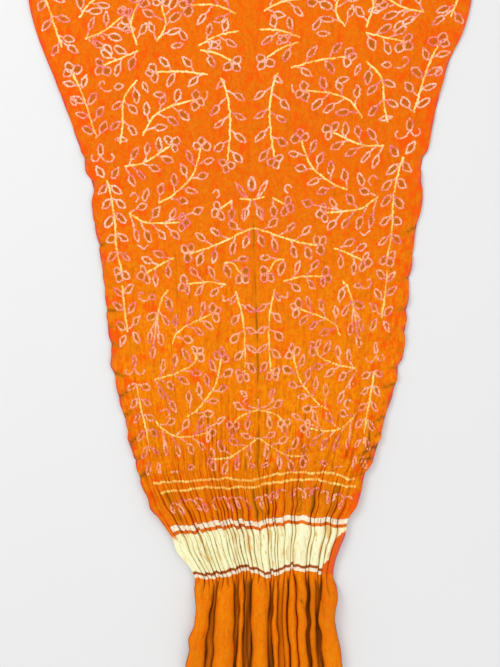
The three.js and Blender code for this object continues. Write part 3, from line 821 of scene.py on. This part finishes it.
def paisley_lines():
    """The row of small hanging paisleys above the band, with the swags that they hang from."""
    random = np.random.default_rng(12)
    lines = []
    for k in range(PAISLEYS):
        across = PAISLEYS_START + PAISLEYS_SPAN * (k + 0.5) / PAISLEYS + random.uniform(-0.006, 0.006)
        start = PAISLEY_ROW + lines_bend(across) + random.uniform(-2, 2)
        drop = random.uniform(11, 21)
        t = np.linspace(0, 1, 24)
        half = 0.0105 * np.sin(np.pi * t) ** 0.8 * random.uniform(0.6, 1.2)
        lean = random.uniform(-0.01, 0.01) + 0.0025 * np.sin(t * random.uniform(4, 9))
        if k % 4 != 2:
            lines.append((start + drop * t, across + lean * t + half * t**0.4))
            lines.append((start + drop * t, across + lean * t - half * t**0.4))
        if k % 5 != 4:
            swag = np.linspace(0, math.pi, 20)
            lines.append((start - 5 * np.sin(swag), across + PAISLEYS_SPAN / PAISLEYS * swag / math.pi))
    return lines


def spaced(from_, across, pitch, random):
    """Places a pitch apart along a line on the laid cloth, a little unevenly."""
    left, right = selvedges(from_)
    x = left + (right - left) * across
    y = from_ + sway(from_, across)
    run = np.concatenate([[0], np.cumsum(np.hypot(np.diff(x), np.diff(y)))])
    count = max(2, int(round(run[-1] / pitch)))
    at = (np.arange(count) + 0.5 + random.uniform(-0.12, 0.12, count)) * run[-1] / count
    from_, across = np.interp(at, run, from_), np.interp(at, run, across)
    on_cloth = (across > 0.006) & (across < 0.994) & (from_ > 1)
    return from_[on_cloth], across[on_cloth]


def dot_places():
    """Where every tied dot of one half sits: from and across, leaf dots and stem dots apart."""
    random = np.random.default_rng(4)
    places = {"leaf": [], "stem": []}
    lines, blades = vine_lines()
    tinted = []
    for side in (-1, 1):
        for points, kind in lines:
            from_, across = cloth_place(points, side)
            pitch = BEAD_PITCH if kind == "leaf" else STEM_PITCH
            places[kind].append(spaced(from_, across, pitch, random))
        for blade in blades:
            tinted.append(cloth_place(blade, side))
    for start, low, high in ACROSS_LINES:
        across = np.linspace(low, high, 400)
        from_ = start + lines_bend(across) + 2.2 * wandering(across * 18, start)
        from_ = from_ + 1.3 * wandering(across * 60, start + 9)
        places["stem"].append(spaced(from_, across, STEM_PITCH * 0.8, random))
    for from_, across in paisley_lines():
        places["leaf"].append(spaced(from_, across, BEAD_PITCH, random))
    joined = {
        kind: (np.concatenate([p[0] for p in found]), np.concatenate([p[1] for p in found]))
        for kind, found in places.items()
    }
    return joined, tinted


def leaf_tint(points, tinted):
    """How deep inside a leaf or petal each part of the cloth's face lies, from 0 to 1."""
    flat = points[..., :2].reshape(-1, 2)
    tint = np.zeros(len(flat))
    order = np.argsort(flat[:, 1])
    heights = flat[order, 1]
    for from_, across in tinted:
        left, right = selvedges(from_)
        ring = np.stack([left + (right - left) * across, -(from_ + sway(from_, across))], -1)
        low, high = ring.min(0), ring.max(0)
        near = order[np.searchsorted(heights, low[1]):np.searchsorted(heights, high[1])]
        near = near[(flat[near, 0] > low[0]) & (flat[near, 0] < high[0])]
        inside = np.zeros(len(near), bool)
        x, y = flat[near, 0], flat[near, 1]
        away = np.full(len(near), 99.0)
        for (x1, y1), (x2, y2) in zip(ring, np.roll(ring, -1, 0)):
            crosses = (y1 > y) != (y2 > y)
            level = y2 - y1 if y2 != y1 else 1e-9
            inside ^= crosses & (x < (x2 - x1) * (y - y1) / level + x1)
            away = np.minimum(away, np.hypot(x - x1, y - y1))
        deep = np.clip((away[inside] - 0.8) / 2.4, 0, 1)
        tint[near[inside]] = np.maximum(tint[near[inside]], deep)
    return tint.reshape(points.shape[:-1])


def tied_dot(ring_points, tip):
    """One raised tied dot, with a tip as wide as this share of its foot, as its points and faces."""
    bpy.ops.object.select_all(action="DESELECT")
    bpy.ops.mesh.primitive_cone_add(
        vertices=ring_points, radius1=1.0, radius2=tip, depth=DOT_HEIGHT,
        end_fill_type="TRIFAN", location=(0, 0, DOT_HEIGHT / 2),
    )
    dot = bpy.context.object
    points = np.array([v.co + dot.location for v in dot.data.vertices])
    centres = np.hypot(points[:, 0], points[:, 1]) < 0.01
    under = centres & (points[:, 2] < 0.1)
    points[centres & ~under, 2] += DOT_CROWN
    points = points if tip > 0 else points * [1, 1, SHARP_DOT]
    faces = [list(p.vertices) for p in dot.data.polygons if not under[list(p.vertices)].any()]
    used = sorted({i for face in faces for i in face})
    bpy.data.objects.remove(dot, do_unlink=True)
    return points[used], [[used.index(i) for i in face] for face in faces]


def dots_piece(name, from_, across, radius, thinning, swelling, dot, turn):
    """Copies of one dot joined into a piece, each square to the cloth's face under it."""
    random = np.random.default_rng(31)
    shape, dot_faces = tied_dot(*dot)
    at, _ = laid_cloth(from_, across)
    further, _ = laid_cloth(from_ + SLOPE_REACH, across)
    nearer, _ = laid_cloth(from_ - SLOPE_REACH, across)
    right, _ = laid_cloth(from_, across + SLOPE_REACH_ACROSS)
    left, _ = laid_cloth(from_, across - SLOPE_REACH_ACROSS)
    down = further - nearer
    normal = np.cross(down, right - left)
    normal /= np.linalg.norm(normal, axis=1, keepdims=True)
    down /= np.linalg.norm(down, axis=1, keepdims=True)
    side = np.cross(down, normal)
    drawn_in = 1 - thinning * eased(from_, SHRINK_START, SHRINK_FULL)
    drawn_in = drawn_in + swelling * eased(from_, SWELL_START, SWELL_FULL)
    scale = random.uniform(0.8, 1.16, (len(at), 1)) * drawn_in[:, None]
    at = at + side * random.uniform(-0.6, 0.6, (len(at), 1))
    spin = random.uniform(0, 2 * math.pi, (len(at), 1))
    x = shape[:, 0] * np.cos(spin) - shape[:, 1] * np.sin(spin)
    y = shape[:, 0] * np.sin(spin) + shape[:, 1] * np.cos(spin)
    z = np.broadcast_to(shape[:, 2] - DOT_SUNK, x.shape)
    local = np.stack([x * scale * radius, y * scale * radius, z], -1)
    points = at[:, None] + local[..., :1] * side[:, None] + local[..., 1:2] * down[:, None]
    points = points + local[..., 2:] * normal[:, None]
    if turn:
        points = turned(points)
    count = len(shape)
    faces = [[i + n * count for i in face] for n in range(len(at)) for face in dot_faces]
    mesh = bpy.data.meshes.new(name)
    mesh.from_pydata((points.reshape(-1, 3) * MM).tolist(), [], faces)
    mesh.polygons.foreach_set("use_smooth", [True] * len(mesh.polygons))
    core = np.tile(1 - np.hypot(shape[:, 0], shape[:, 1]), len(at)).astype(np.float32)
    mesh.attributes.new("core", "FLOAT", "POINT").data.foreach_set("value", core)
    tone = 0.5 + 0.55 * folding(across * 38, from_ / 18.0) + random.uniform(-0.3, 0.3, len(at))
    tone = np.repeat(np.clip(tone, 0, 1), count).astype(np.float32)
    mesh.attributes.new("tone", "FLOAT", "POINT").data.foreach_set("value", tone)
    cells = math.ceil(math.sqrt(len(at)))
    cell = np.arange(len(at))
    corner = np.stack([cell % cells, cell // cells], -1)[:, None]
    spots = (corner + 0.5 + shape[None, :, :2] * 0.46) / cells
    corners = np.zeros(len(mesh.loops), int)
    mesh.loops.foreach_get("vertex_index", corners)
    mesh.uv_layers.new(name="OFBake").data.foreach_set("uv", spots.reshape(-1, 2)[corners].ravel())
    piece = bpy.data.objects.new(name, mesh)
    bpy.context.scene.collection.objects.link(piece)
    return piece


def hem_stitches(name, row_points, normals, turn):
    """Running stitches along a hem, small threads lying in the cloth, joined into a piece."""
    steps = np.linalg.norm(np.diff(row_points, axis=0), axis=1)
    run = np.concatenate([[0], np.cumsum(steps)])
    count = int(run[-1] / STITCH_PITCH)
    points, faces = [], []
    for k in range(count):
        reach = run[-1] * (k + 0.5) / count + np.array([-0.5, -0.3, 0, 0.3, 0.5]) * STITCH_LENGTH
        line = np.stack([np.interp(reach, run, row_points[:, i]) for i in range(3)], -1)
        face = np.stack([np.interp(reach, run, normals[:, i]) for i in range(3)], -1)
        face /= np.linalg.norm(face, axis=1, keepdims=True)
        line = line + face * np.array([-0.1, 0.12, 0.2, 0.12, -0.1])[:, None]
        along = np.gradient(line, axis=0)
        along /= np.linalg.norm(along, axis=1, keepdims=True)
        side = np.cross(along, face)
        first = len(points)
        for i in range(5):
            for turn_by in np.arange(6) * math.pi / 3:
                thick = THREAD * (0.6 if i in (0, 4) else 1)
                points.append(line[i] + thick * (side[i] * math.cos(turn_by) + face[i] * math.sin(turn_by)))
        for i in range(4):
            for j in range(6):
                a, b = first + i * 6 + j, first + i * 6 + (j + 1) % 6
                faces.append([a, b, b + 6, a + 6])
        faces.append([first + j for j in range(6)][::-1])
        faces.append([first + 24 + j for j in range(6)])
    points = np.array(points)
    if turn:
        points = turned(points)
    mesh = bpy.data.meshes.new(name)
    mesh.from_pydata((points * MM).tolist(), [], faces)
    mesh.polygons.foreach_set("use_smooth", [True] * len(mesh.polygons))
    piece = bpy.data.objects.new(name, mesh)
    bpy.context.scene.collection.objects.link(piece)
    return piece


class Shade:
    """A node's output, so that sums on it add Math nodes."""

    def __init__(self, finish, socket):
        self.finish, self.socket = finish, socket

    def _sum(self, operation, first, second, clamp=False):
        return self.finish.add(
            "ShaderNodeMath", {"operation": operation, "use_clamp": clamp}, {0: first, 1: second}
        )

    def __add__(self, other):
        return self._sum("ADD", self, other)

    def __radd__(self, other):
        return self._sum("ADD", other, self)

    def __sub__(self, other):
        return self._sum("SUBTRACT", self, other)

    def __rsub__(self, other):
        return self._sum("SUBTRACT", other, self)

    def __mul__(self, other):
        return self._sum("MULTIPLY", self, other)

    def __rmul__(self, other):
        return self._sum("MULTIPLY", other, self)

    def __truediv__(self, other):
        return self._sum("DIVIDE", self, other)

    def __pow__(self, other):
        return self._sum("POWER", self, other)

    def least(self, other):
        return self._sum("MINIMUM", self, other)

    def most(self, other):
        return self._sum("MAXIMUM", self, other)

    def held(self):
        return self._sum("ADD", self, 0.0, clamp=True)


class Finish:
    """A material in the making."""

    def __init__(self, name, **constants):
        self.material = bpy.data.materials.new(name)
        self.material.use_nodes = True
        self.tree = self.material.node_tree
        self.shader = self.tree.nodes["Principled BSDF"]
        for socket, value in constants.items():
            self.shader.inputs[socket.replace("_", " ")].default_value = value

    def add(self, kind, settings=None, inputs=None, output=0):
        node = self.tree.nodes.new(kind)
        for name, value in (settings or {}).items():
            setattr(node, name, value)
        for name, value in (inputs or {}).items():
            if isinstance(value, Shade):
                self.tree.links.new(value.socket, node.inputs[name])
            else:
                node.inputs[name].default_value = value
        return Shade(self, node.outputs[output])

    def feed(self, **sockets):
        for name, value in sockets.items():
            self.tree.links.new(value.socket, self.shader.inputs[name.replace("_", " ")])

    def mask(self, name):
        return self.add("ShaderNodeAttribute", {"attribute_name": name}, output=2)

    def mix(self, factor, first, second):
        return self.add("ShaderNodeMix", {"data_type": "RGBA"}, {0: factor, 6: first, 7: second}, 2)

    def step(self, value, start, stop, low=0.0, high=1.0):
        """Low before start, high after stop, and a smooth step between them."""
        return self.add(
            "ShaderNodeMapRange", {"interpolation_type": "SMOOTHSTEP"},
            {0: value, 1: start, 2: stop, 3: low, 4: high},
        )

    def cut(self):
        """The place on the cut cloth in metres: across it, and from its middle."""
        place = self.add("ShaderNodeUVMap", {"uv_map": "Cut"})
        parts = self.tree.nodes.new("ShaderNodeSeparateXYZ")
        self.tree.links.new(place.socket, parts.inputs[0])
        return place, Shade(self, parts.outputs[0]), Shade(self, parts.outputs[1])

    def noise(self, place, scale, detail=2.0, rough=0.5, stretch=(1, 1, 1), shift=(0, 0, 0)):
        moved = self.add("ShaderNodeMapping", {}, {0: place, 1: shift, 3: stretch})
        inputs = {"Vector": moved, "Scale": scale, "Detail": detail, "Roughness": rough}
        return self.add("ShaderNodeTexNoise", {}, inputs)

    def bumps(self, strength, *layers):
        """Bump nodes one on another, each a height and its depth in metres."""
        last = None
        for height, depth in layers:
            inputs = {"Strength": strength, "Distance": depth, "Height": height}
            if last is not None:
                inputs["Normal"] = last
            last = self.add("ShaderNodeBump", {}, inputs)
        return last


def dye(red, green, blue):
    """A colour from its shade as seen in plain light, 0 to 255, for the dyes and for the painted shade alike.
    """
    parts = [part / 255 for part in (red, green, blue)]
    linear = [part / 12.92 if part <= 0.04045 else ((part + 0.055) / 1.055) ** 2.4 for part in parts]
    return (*[min(0.95, part * 0.93) for part in linear], 1.0)


WEAVE_SCALE = 520.0  # scale of the wave textures that draw the warp and the weft


def weave(finish, place):
    """The plain weave's threads, and the slubs that stand out along them."""
    threads = finish.add(
        "ShaderNodeTexWave", {"wave_type": "BANDS", "bands_direction": "X"},
        {"Vector": place, "Scale": WEAVE_SCALE, "Distortion": 0.6, "Detail": 1.0},
    )
    picks = finish.add(
        "ShaderNodeTexWave", {"wave_type": "BANDS", "bands_direction": "Y"},
        {"Vector": place, "Scale": WEAVE_SCALE, "Distortion": 0.6, "Detail": 1.0},
    )
    slubs = finish.noise(place, 90.0, 3.0, 0.6, (1, 6, 1))
    return threads.most(picks), slubs


def orange_finish(name, plain=False):
    """Dyed silk in orange: redder by the selvedges, duller towards the gathers, and browner in its creases,
    mostly as painted shade with some dye.
    """
    finish = Finish(name, Roughness=0.62, Specular_IOR_Level=0.04, Sheen_Weight=0.015, Sheen_Roughness=0.4,
                    Sheen_Tint=(1.0, 0.42, 0.08, 1.0))
    place, across, from_ = finish.cut()
    object_place = finish.add("ShaderNodeTexCoord", {}, {}, 3)
    cloud = finish.noise(object_place, 7.0, 3.0, 0.55)
    blotch = finish.noise(object_place, 26.0, 4.0, 0.6, shift=(3, 1, 0))
    specks = finish.noise(object_place, 95.0, 3.0, 0.6, (1, 0.45, 1), (0, 4, 0))
    grain = finish.noise(place, 420.0, 2.0, 0.7)
    streaks = finish.noise(place, 70.0, 3.0, 0.6, (1, 0.12, 1))
    edge = (1 - across.least(CUT_WIDTH * MM - across) / 0.11).held()
    crease = finish.mask("crease")
    lower = finish.step(from_, 0.3, 0.8)
    hue = finish.noise(object_place, 220.0, 5.0, 0.75, (1, 0.7, 1), (0, 0, 6))
    reddish = finish.mix(lower, dye(244, 93, 3), dye(254, 121, 0))
    golden = finish.mix(lower, dye(234, 132, 14), dye(250, 168, 10))
    colour = finish.mix(finish.step(hue, 0.34, 0.68), reddish, golden)
    colour = finish.mix(finish.step(cloud, 0.35, 0.7, 0.0, 0.4), colour, dye(246, 120, 2))
    mottle = finish.noise(object_place, 130.0, 4.0, 0.7, shift=(0, 2, 0))
    colour = finish.mix(finish.step(mottle, 0.48, 0.74, 0.0, 0.75), colour, dye(212, 104, 4))
    gathered = finish.step(from_, 0.84, 0.93, 0.0, 0.45)
    colour = finish.mix(gathered, colour, dye(232, 122, 6))
    brown_streaks = finish.step(streaks, 0.42, 0.75) * finish.step(from_, 0.3, 0.88, 0.1, 0.6)
    colour = finish.mix(brown_streaks, colour, dye(220, 118, 8))
    strokes = finish.noise(object_place, 165.0, 3.0, 0.65, (1, 0.2, 1), (7, 0, 0))
    colour = finish.mix(finish.step(strokes, 0.56, 0.74, 0.0, 0.6), colour, dye(198, 92, 2))
    colour = finish.mix(finish.step(strokes, 0.26, 0.42, 0.5, 0.0), colour, dye(253, 92, 2))
    spread = blotch * 0.5 + specks * 0.5 + edge * 0.07 - lower * 0.01
    redder = finish.step(spread, 0.51, 0.63) * (0.2 if plain else 0.85)
    colour = finish.mix(redder, colour, dye(250, 86, 4))
    # Painted shade: the brown and dark mixed in by the crease mask darken creases, hollows and the gaps
    # between folds; in the field's crinkles they are partly dye
    if plain:
        brown, dark, start = dye(196, 104, 6), dye(98, 56, 8), 0.1
    else:
        leaf = finish.mask("leaf")
        colour = finish.mix(leaf * finish.step(mottle, 0.34, 0.6, 0.35, 0.95), colour, dye(176, 100, 20))
        brown, dark, start = dye(218, 122, 4), dye(160, 96, 6), 0.12
    colour = finish.mix(finish.step(crease, start, 0.6, 0.0, 0.8), colour, brown)
    colour = finish.mix(finish.step(crease, 0.45, 0.98, 0.0, 0.92), colour, dark)
    rim = finish.mask("rim")
    violet = rim * finish.step(finish.noise(place, 30.0, 2.0, 0.5, shift=(5, 0, 0)), 0.42, 0.6, 0.1, 0.9)
    colour = finish.mix(violet, colour, dye(196, 36, 96))
    colour = finish.mix(finish.step(grain, 0.3, 0.7, 0.0, 0.12), colour, dye(222, 92, 4))
    threads, slubs = weave(finish, place)
    finish.feed(
        Base_Color=colour,
        Roughness=finish.step(slubs, 0.3, 0.7, 0.56, 0.7),
        Normal=finish.bumps(0.5, (threads, 0.00012), (slubs, 0.0004), (streaks, 0.0008)),
    )
    return finish.material


def band_finish(name):
    """The band: cream where it was bound against the dye, with narrow cream lines on either side."""
    finish = Finish(name, Roughness=0.66, Specular_IOR_Level=0.12, Sheen_Weight=0.03, Sheen_Roughness=0.5)
    place, across, from_ = finish.cut()
    wobble = finish.noise(place, 40.0, 3.0, 0.6, (1, 0.0, 1))
    edge = from_ + (wobble - 0.5) * 0.009
    streaks = finish.noise(place, 75.0, 3.0, 0.65, (1, 0.1, 1), (2, 0, 0))
    flecks = finish.noise(place, 160.0, 3.0, 0.6, (1, 0.5, 1))
    crease = finish.mask("crease")
    cream = finish.mix(finish.step(flecks, 0.35, 0.75), dye(255, 255, 214), dye(255, 248, 192))
    ochre = finish.step(streaks, 0.54, 0.7) * finish.step(flecks, 0.3, 0.6, 0.2, 0.6)
    cream = finish.mix(ochre, cream, dye(232, 176, 88))
    # Painted shade in the creases of the ribs, in ochre and dark brown, with the dye that seeped under the
    # binding
    cream = finish.mix(finish.step(crease, 0.07, 0.5, 0.0, 0.72), cream, dye(230, 170, 52))
    cream = finish.mix(finish.step(crease, 0.62, 0.97, 0.0, 0.9), cream, dye(132, 76, 6))
    orange = finish.mix(finish.step(streaks, 0.35, 0.65), dye(244, 122, 6), dye(206, 92, 6))
    # Painted shade in the creases of the orange lines
    orange = finish.mix(finish.step(crease, 0.35, 0.95, 0.0, 0.9), orange, dye(96, 44, 0))
    orange = finish.mix(finish.step(from_, 1.048, 1.056), orange, dye(176, 82, 10))
    pink = finish.mix(finish.step(flecks, 0.45, 0.65), dye(255, 248, 218), dye(252, 214, 186))
    # Painted shade in the creases of the pale line
    pink = finish.mix(finish.step(crease, 0.25, 0.8), pink, dye(140, 84, 36))
    wide = finish.step(edge, 0.9815, 0.9835) * finish.step(edge, 1.0535, 1.0555, 1.0, 0.0)
    narrow = finish.step(edge, 0.9665, 0.968) * finish.step(edge, 0.9755, 0.977, 1.0, 0.0)
    narrow = narrow + finish.step(edge, 1.0590, 1.0605)
    strip_edge = across / (CUT_WIDTH * MM) + (flecks - 0.5) * 0.02
    widening = finish.step(from_, 0.985, 1.01, 0.06, 0.034) - finish.step(from_, 1.04, 1.058, 0.0, 0.034)
    strip = finish.step(strip_edge - widening, 0.932, 0.94) * finish.step(from_, 0.985, 0.995)
    left_strip = finish.step(strip_edge, 0.012, 0.026, 1.0, 0.0) * finish.step(from_, 0.982, 0.995, 1.0, 0.0)
    colour = finish.mix(narrow.held() * (1 - left_strip), orange, pink)
    colour = finish.mix(wide * (1 - strip) * (1 - left_strip), colour, cream)
    colour = finish.mix(strip, colour, dye(238, 104, 10))
    rim = finish.mask("rim") * strip
    colour = finish.mix(rim, colour, dye(196, 50, 100))
    threads, slubs = weave(finish, place)
    finish.feed(
        Base_Color=colour,
        Roughness=finish.step(slubs, 0.3, 0.7, 0.6, 0.74),
        Normal=finish.bumps(0.5, (threads, 0.00012), (slubs, 0.0004), (streaks, 0.0008)),
    )
    return finish.material


def dot_finish(name, pale_colour, core_colour, low_colour, fringe_colour, deep_colour):
    """A tied dot: pale where the thread kept the dye out, tinted round its foot, and less pale
    towards the gathered ends."""
    finish = Finish(name, Roughness=0.6, Specular_IOR_Level=0.3, Sheen_Weight=0.05)
    place = finish.add("ShaderNodeTexCoord", {}, {}, 3)
    core, tone = finish.mask("core"), finish.mask("tone")
    grain = finish.noise(place, 900.0, 3.0, 0.6)
    fringe = finish.mix(tone, fringe_colour, deep_colour)
    along = finish.add("ShaderNodeSeparateXYZ", {}, {0: place}, 1)
    core_colour = finish.mix(finish.step((along * along) ** 0.5, 0.25, 0.8), core_colour, low_colour)
    fade = finish.step((along * along) ** 0.5, 0.3, 0.7, 1.0, 0.4)
    core_colour = finish.mix(finish.step(tone, 0.0, 0.4, 0.75, 0.0) * fade, core_colour, pale_colour)
    core_colour = finish.mix(finish.step(tone, 0.55, 0.95, 0.0, 0.65), core_colour, fringe)
    shown = finish.step(core + (tone - 0.5) * -0.3 + (grain - 0.5) * 0.3, 0.01, 0.46)
    finish.feed(
        Base_Color=finish.mix(shown, fringe, core_colour),
        Roughness=finish.step(grain, 0.3, 0.7, 0.55, 0.7),
        Normal=finish.bumps(0.4, (grain, 0.0003)),
    )
    return finish.material


def thread_finish(name):
    """Orange sewing thread, twisted."""
    finish = Finish(name, Roughness=0.5, Specular_IOR_Level=0.35)
    place = finish.add("ShaderNodeTexCoord", {}, {}, 3)
    twist = finish.noise(place, 2600.0, 2.0, 0.6, (1, 3, 1))
    finish.feed(
        Base_Color=finish.mix(twist, dye(214, 84, 0), dye(255, 140, 24)),
        Normal=finish.bumps(0.5, (twist, 0.0001)),
    )
    return finish.material


def plain_finish(name, colour):
    """The floor: a pale matt surface."""
    finish = Finish(name, Roughness=0.85, Specular_IOR_Level=0.2)
    place = finish.add("ShaderNodeTexCoord", {}, {}, 3)
    cloud = finish.noise(place, 3.0)
    finish.feed(Base_Color=finish.mix(cloud, colour, (*[part * 0.985 for part in colour[:3]], 1)))
    return finish.material


def stretch_of_cloth(rows, cols, tinted):
    """The laid cloth over some rows: its face, its crease and leaf masks, and its rims."""
    face, crease = laid_cloth(rows[:, None], cols[None, :])
    left, right = selvedges(rows[:, None])
    width = right - left
    inwards = np.minimum(cols, 1 - cols)[None, :] * width
    rim = np.exp(-inwards / 2.2)
    return face, {"crease": crease, "leaf": leaf_tint(face, tinted), "rim": rim}


def lowest_near(values, reach_rows, reach_cols):
    """The least value within a few rows and columns of each place."""
    for axis, reach in ((0, reach_rows), (1, reach_cols)):
        least = values.copy()
        for shift in range(1, reach + 1):
            for way in (shift, -shift):
                moved = np.roll(values, way, axis)
                edge = slice(0, shift) if way > 0 else slice(-shift, None)
                if axis == 0:
                    moved[edge] = values[edge]
                else:
                    moved[:, edge] = values[:, edge]
                least = np.minimum(least, moved)
        values = least
    return values


def underside(face, thick):
    """The cloth's other side, square to its face and no lower than the surface it lies on."""
    under = face - normals_of(face) * thick
    under[..., 2] = np.maximum(under[..., 2], 0.02)
    return under


def lay_half(prefix, per_rib, row_steps, tinted, turn):
    """One half of the cloth: field, gathered stretch, band and plain end, and its hem row."""
    cols = columns(per_rib)
    made = {}
    ends = [
        ("field", 0, FIELD_END), ("gathered_stretch", FIELD_END, BAND_START),
        ("cream_band", BAND_START, BAND_END),
    ]
    place = (lambda points: turned(points)) if turn else (lambda points: points)
    for (part, start, stop), step in zip(ends, row_steps):
        rows = np.linspace(start, stop, max(2, round((stop - start) / step)) + 1)
        face, masks = stretch_of_cloth(rows, cols, tinted)
        if part == "cream_band":
            edge, edge_crease = face[-1], masks["crease"][-1]
        cut = arc_shares(face)
        if part == "field":
            under = face.copy()
            under[..., 2] = np.clip(lowest_near(face[..., 2], 4, 2) - 0.6, 0.0, None)
            keep = (4, 2)
        else:
            under, keep = underside(face, CLOTH), (1, 1)
        name = f"{prefix}_{part}_cloth"
        made[part] = cloth_piece(name, place(face), place(under), rows, cut, masks, keep)
    hem_top = HALF_LENGTH - HEM_DEPTH
    rows = np.concatenate([
        np.linspace(BAND_END, hem_top - 1, round((hem_top - 1 - BAND_END) / row_steps[3]) + 1),
        [hem_top, hem_top + 2, hem_top + 5, HALF_LENGTH],
    ])
    along = arc_shares(edge)
    face, hollow = tail_cloth(rows, edge, edge_crease, cols)
    inwards = np.minimum(along, 1 - along)[None, :] * CUT_WIDTH
    masks = {"crease": hollow, "rim": np.broadcast_to(np.exp(-inwards / 3.0), hollow.shape).copy()}
    made["plain_end"] = cloth_piece(
        f"{prefix}_plain_end_cloth", place(face), place(underside(face, CLOTH)), rows, arc_shares(face), masks
    )
    hem_row = len(rows) - 3
    stitches = hem_stitches(f"{prefix}_hem_stitches", face[hem_row], normals_of(face)[hem_row], turn)
    return made, stitches


def dress(piece, material, nodes=()):
    """Gives a finished piece its material and its body, and hides the CAD nodes it stands for."""
    piece.data.materials.append(material)
    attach(piece, "root")
    if nodes:
        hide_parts(*nodes)


places, tinted = dot_places()
orange = orange_finish("dyed orange silk")
tail_orange = orange_finish("plain orange silk", plain=True)
cream = band_finish("undyed cream band")
white_dots = dot_finish(
    "undyed tied dots", dye(254, 216, 194), dye(250, 172, 140), dye(252, 168, 116),
    dye(237, 102, 90), dye(230, 86, 100),
)
yellow_dots = dot_finish(
    "yellow tied dots", dye(255, 238, 164), dye(255, 220, 122), dye(255, 214, 108),
    dye(250, 176, 60), dye(246, 156, 52),
)
thread = thread_finish("hem thread")

near, near_stitches = lay_half("near", 15, (4.9, 2.9, 2.5, 3.6), tinted, False)
far, far_stitches = lay_half("far", 9, (7.6, 4.8, 4.4, 6.0), tinted, True)
SLOTS = {
    "field": ("dyed_orange", orange, 850.0), "gathered_stretch": ("gathered_orange", orange, 116.0),
    "cream_band": ("undyed_cream", cream, 100.0), "plain_end": ("plain_orange", tail_orange, 174.0),
}
for prefix, half, stitches in (("near", near, near_stitches), ("far", far, far_stitches)):
    for part, piece in half.items():
        slot_name, material, length = SLOTS[part]
        nodes = ["field"] if part == "field" else [f"{prefix}_{part}"]
        dress(piece, material, nodes)
    dress(stitches, thread)
    turn = prefix == "far"
    dot = (5, 0.0) if turn else (5, 0.55)
    for kind, material, slot_name, radius, thinning, swelling in (
        ("leaf", white_dots, "undyed_dots", 2.5, -0.02, 0.02),
        ("stem", yellow_dots, "yellow_dots", 2.75, 0.15, 0.3),
    ):
        from_, across = places[kind]
        piece = dots_piece(f"{prefix}_{kind}_dots", from_, across, radius, thinning, swelling, dot, turn)
        dress(piece, material)
        half[kind + "_dots"] = piece
    for part, (_, _, length) in SLOTS.items():
        held = "laid" if part == "field" else "gathered"

# The surface that the cloth lies on
bpy.ops.object.select_all(action="DESELECT")
bpy.ops.mesh.primitive_plane_add(size=40, location=(0, 0, -0.0005))
floor = bpy.context.object
floor.name = "floor"
floor.data.materials.append(plain_finish("pale floor", (0.78, 0.78, 0.78, 1)))

# Soft studio light, a little stronger from the upper left
world = bpy.data.worlds.new("soft light")
world.use_nodes = True
world.node_tree.nodes["Background"].inputs[0].default_value = (1, 1, 1, 1)
world.node_tree.nodes["Background"].inputs[1].default_value = 0.86
bpy.context.scene.world = world
for name, spot, size, power in (
    ("key", (-1.9, 0.9, 2.3), 1.3, 30), ("fill", (1.8, -2.2, 2.6), 2.4, 10), ("back", (0.6, 2.6, 2.4), 2.0, 9)
):
    lamp = bpy.data.lights.new(name, "AREA")
    lamp.size, lamp.energy = size, power
    holder = bpy.data.objects.new(name, lamp)
    bpy.context.scene.collection.objects.link(holder)
    holder.location = spot
    holder.rotation_euler = (
        Vector((0, -0.5, 0)) - Vector(spot)
    ).to_track_quat("-Z", "Y").to_euler()

# The camera looks straight down on the near half
camera = bpy.data.objects.new("camera", bpy.data.cameras.new("camera"))
bpy.context.scene.collection.objects.link(camera)
camera.data.lens = 85
camera.data.sensor_width = 36
camera.location = (0, -0.6309, 2.838)
bpy.context.scene.camera = camera
bpy.context.scene.view_settings.view_transform = "Standard"
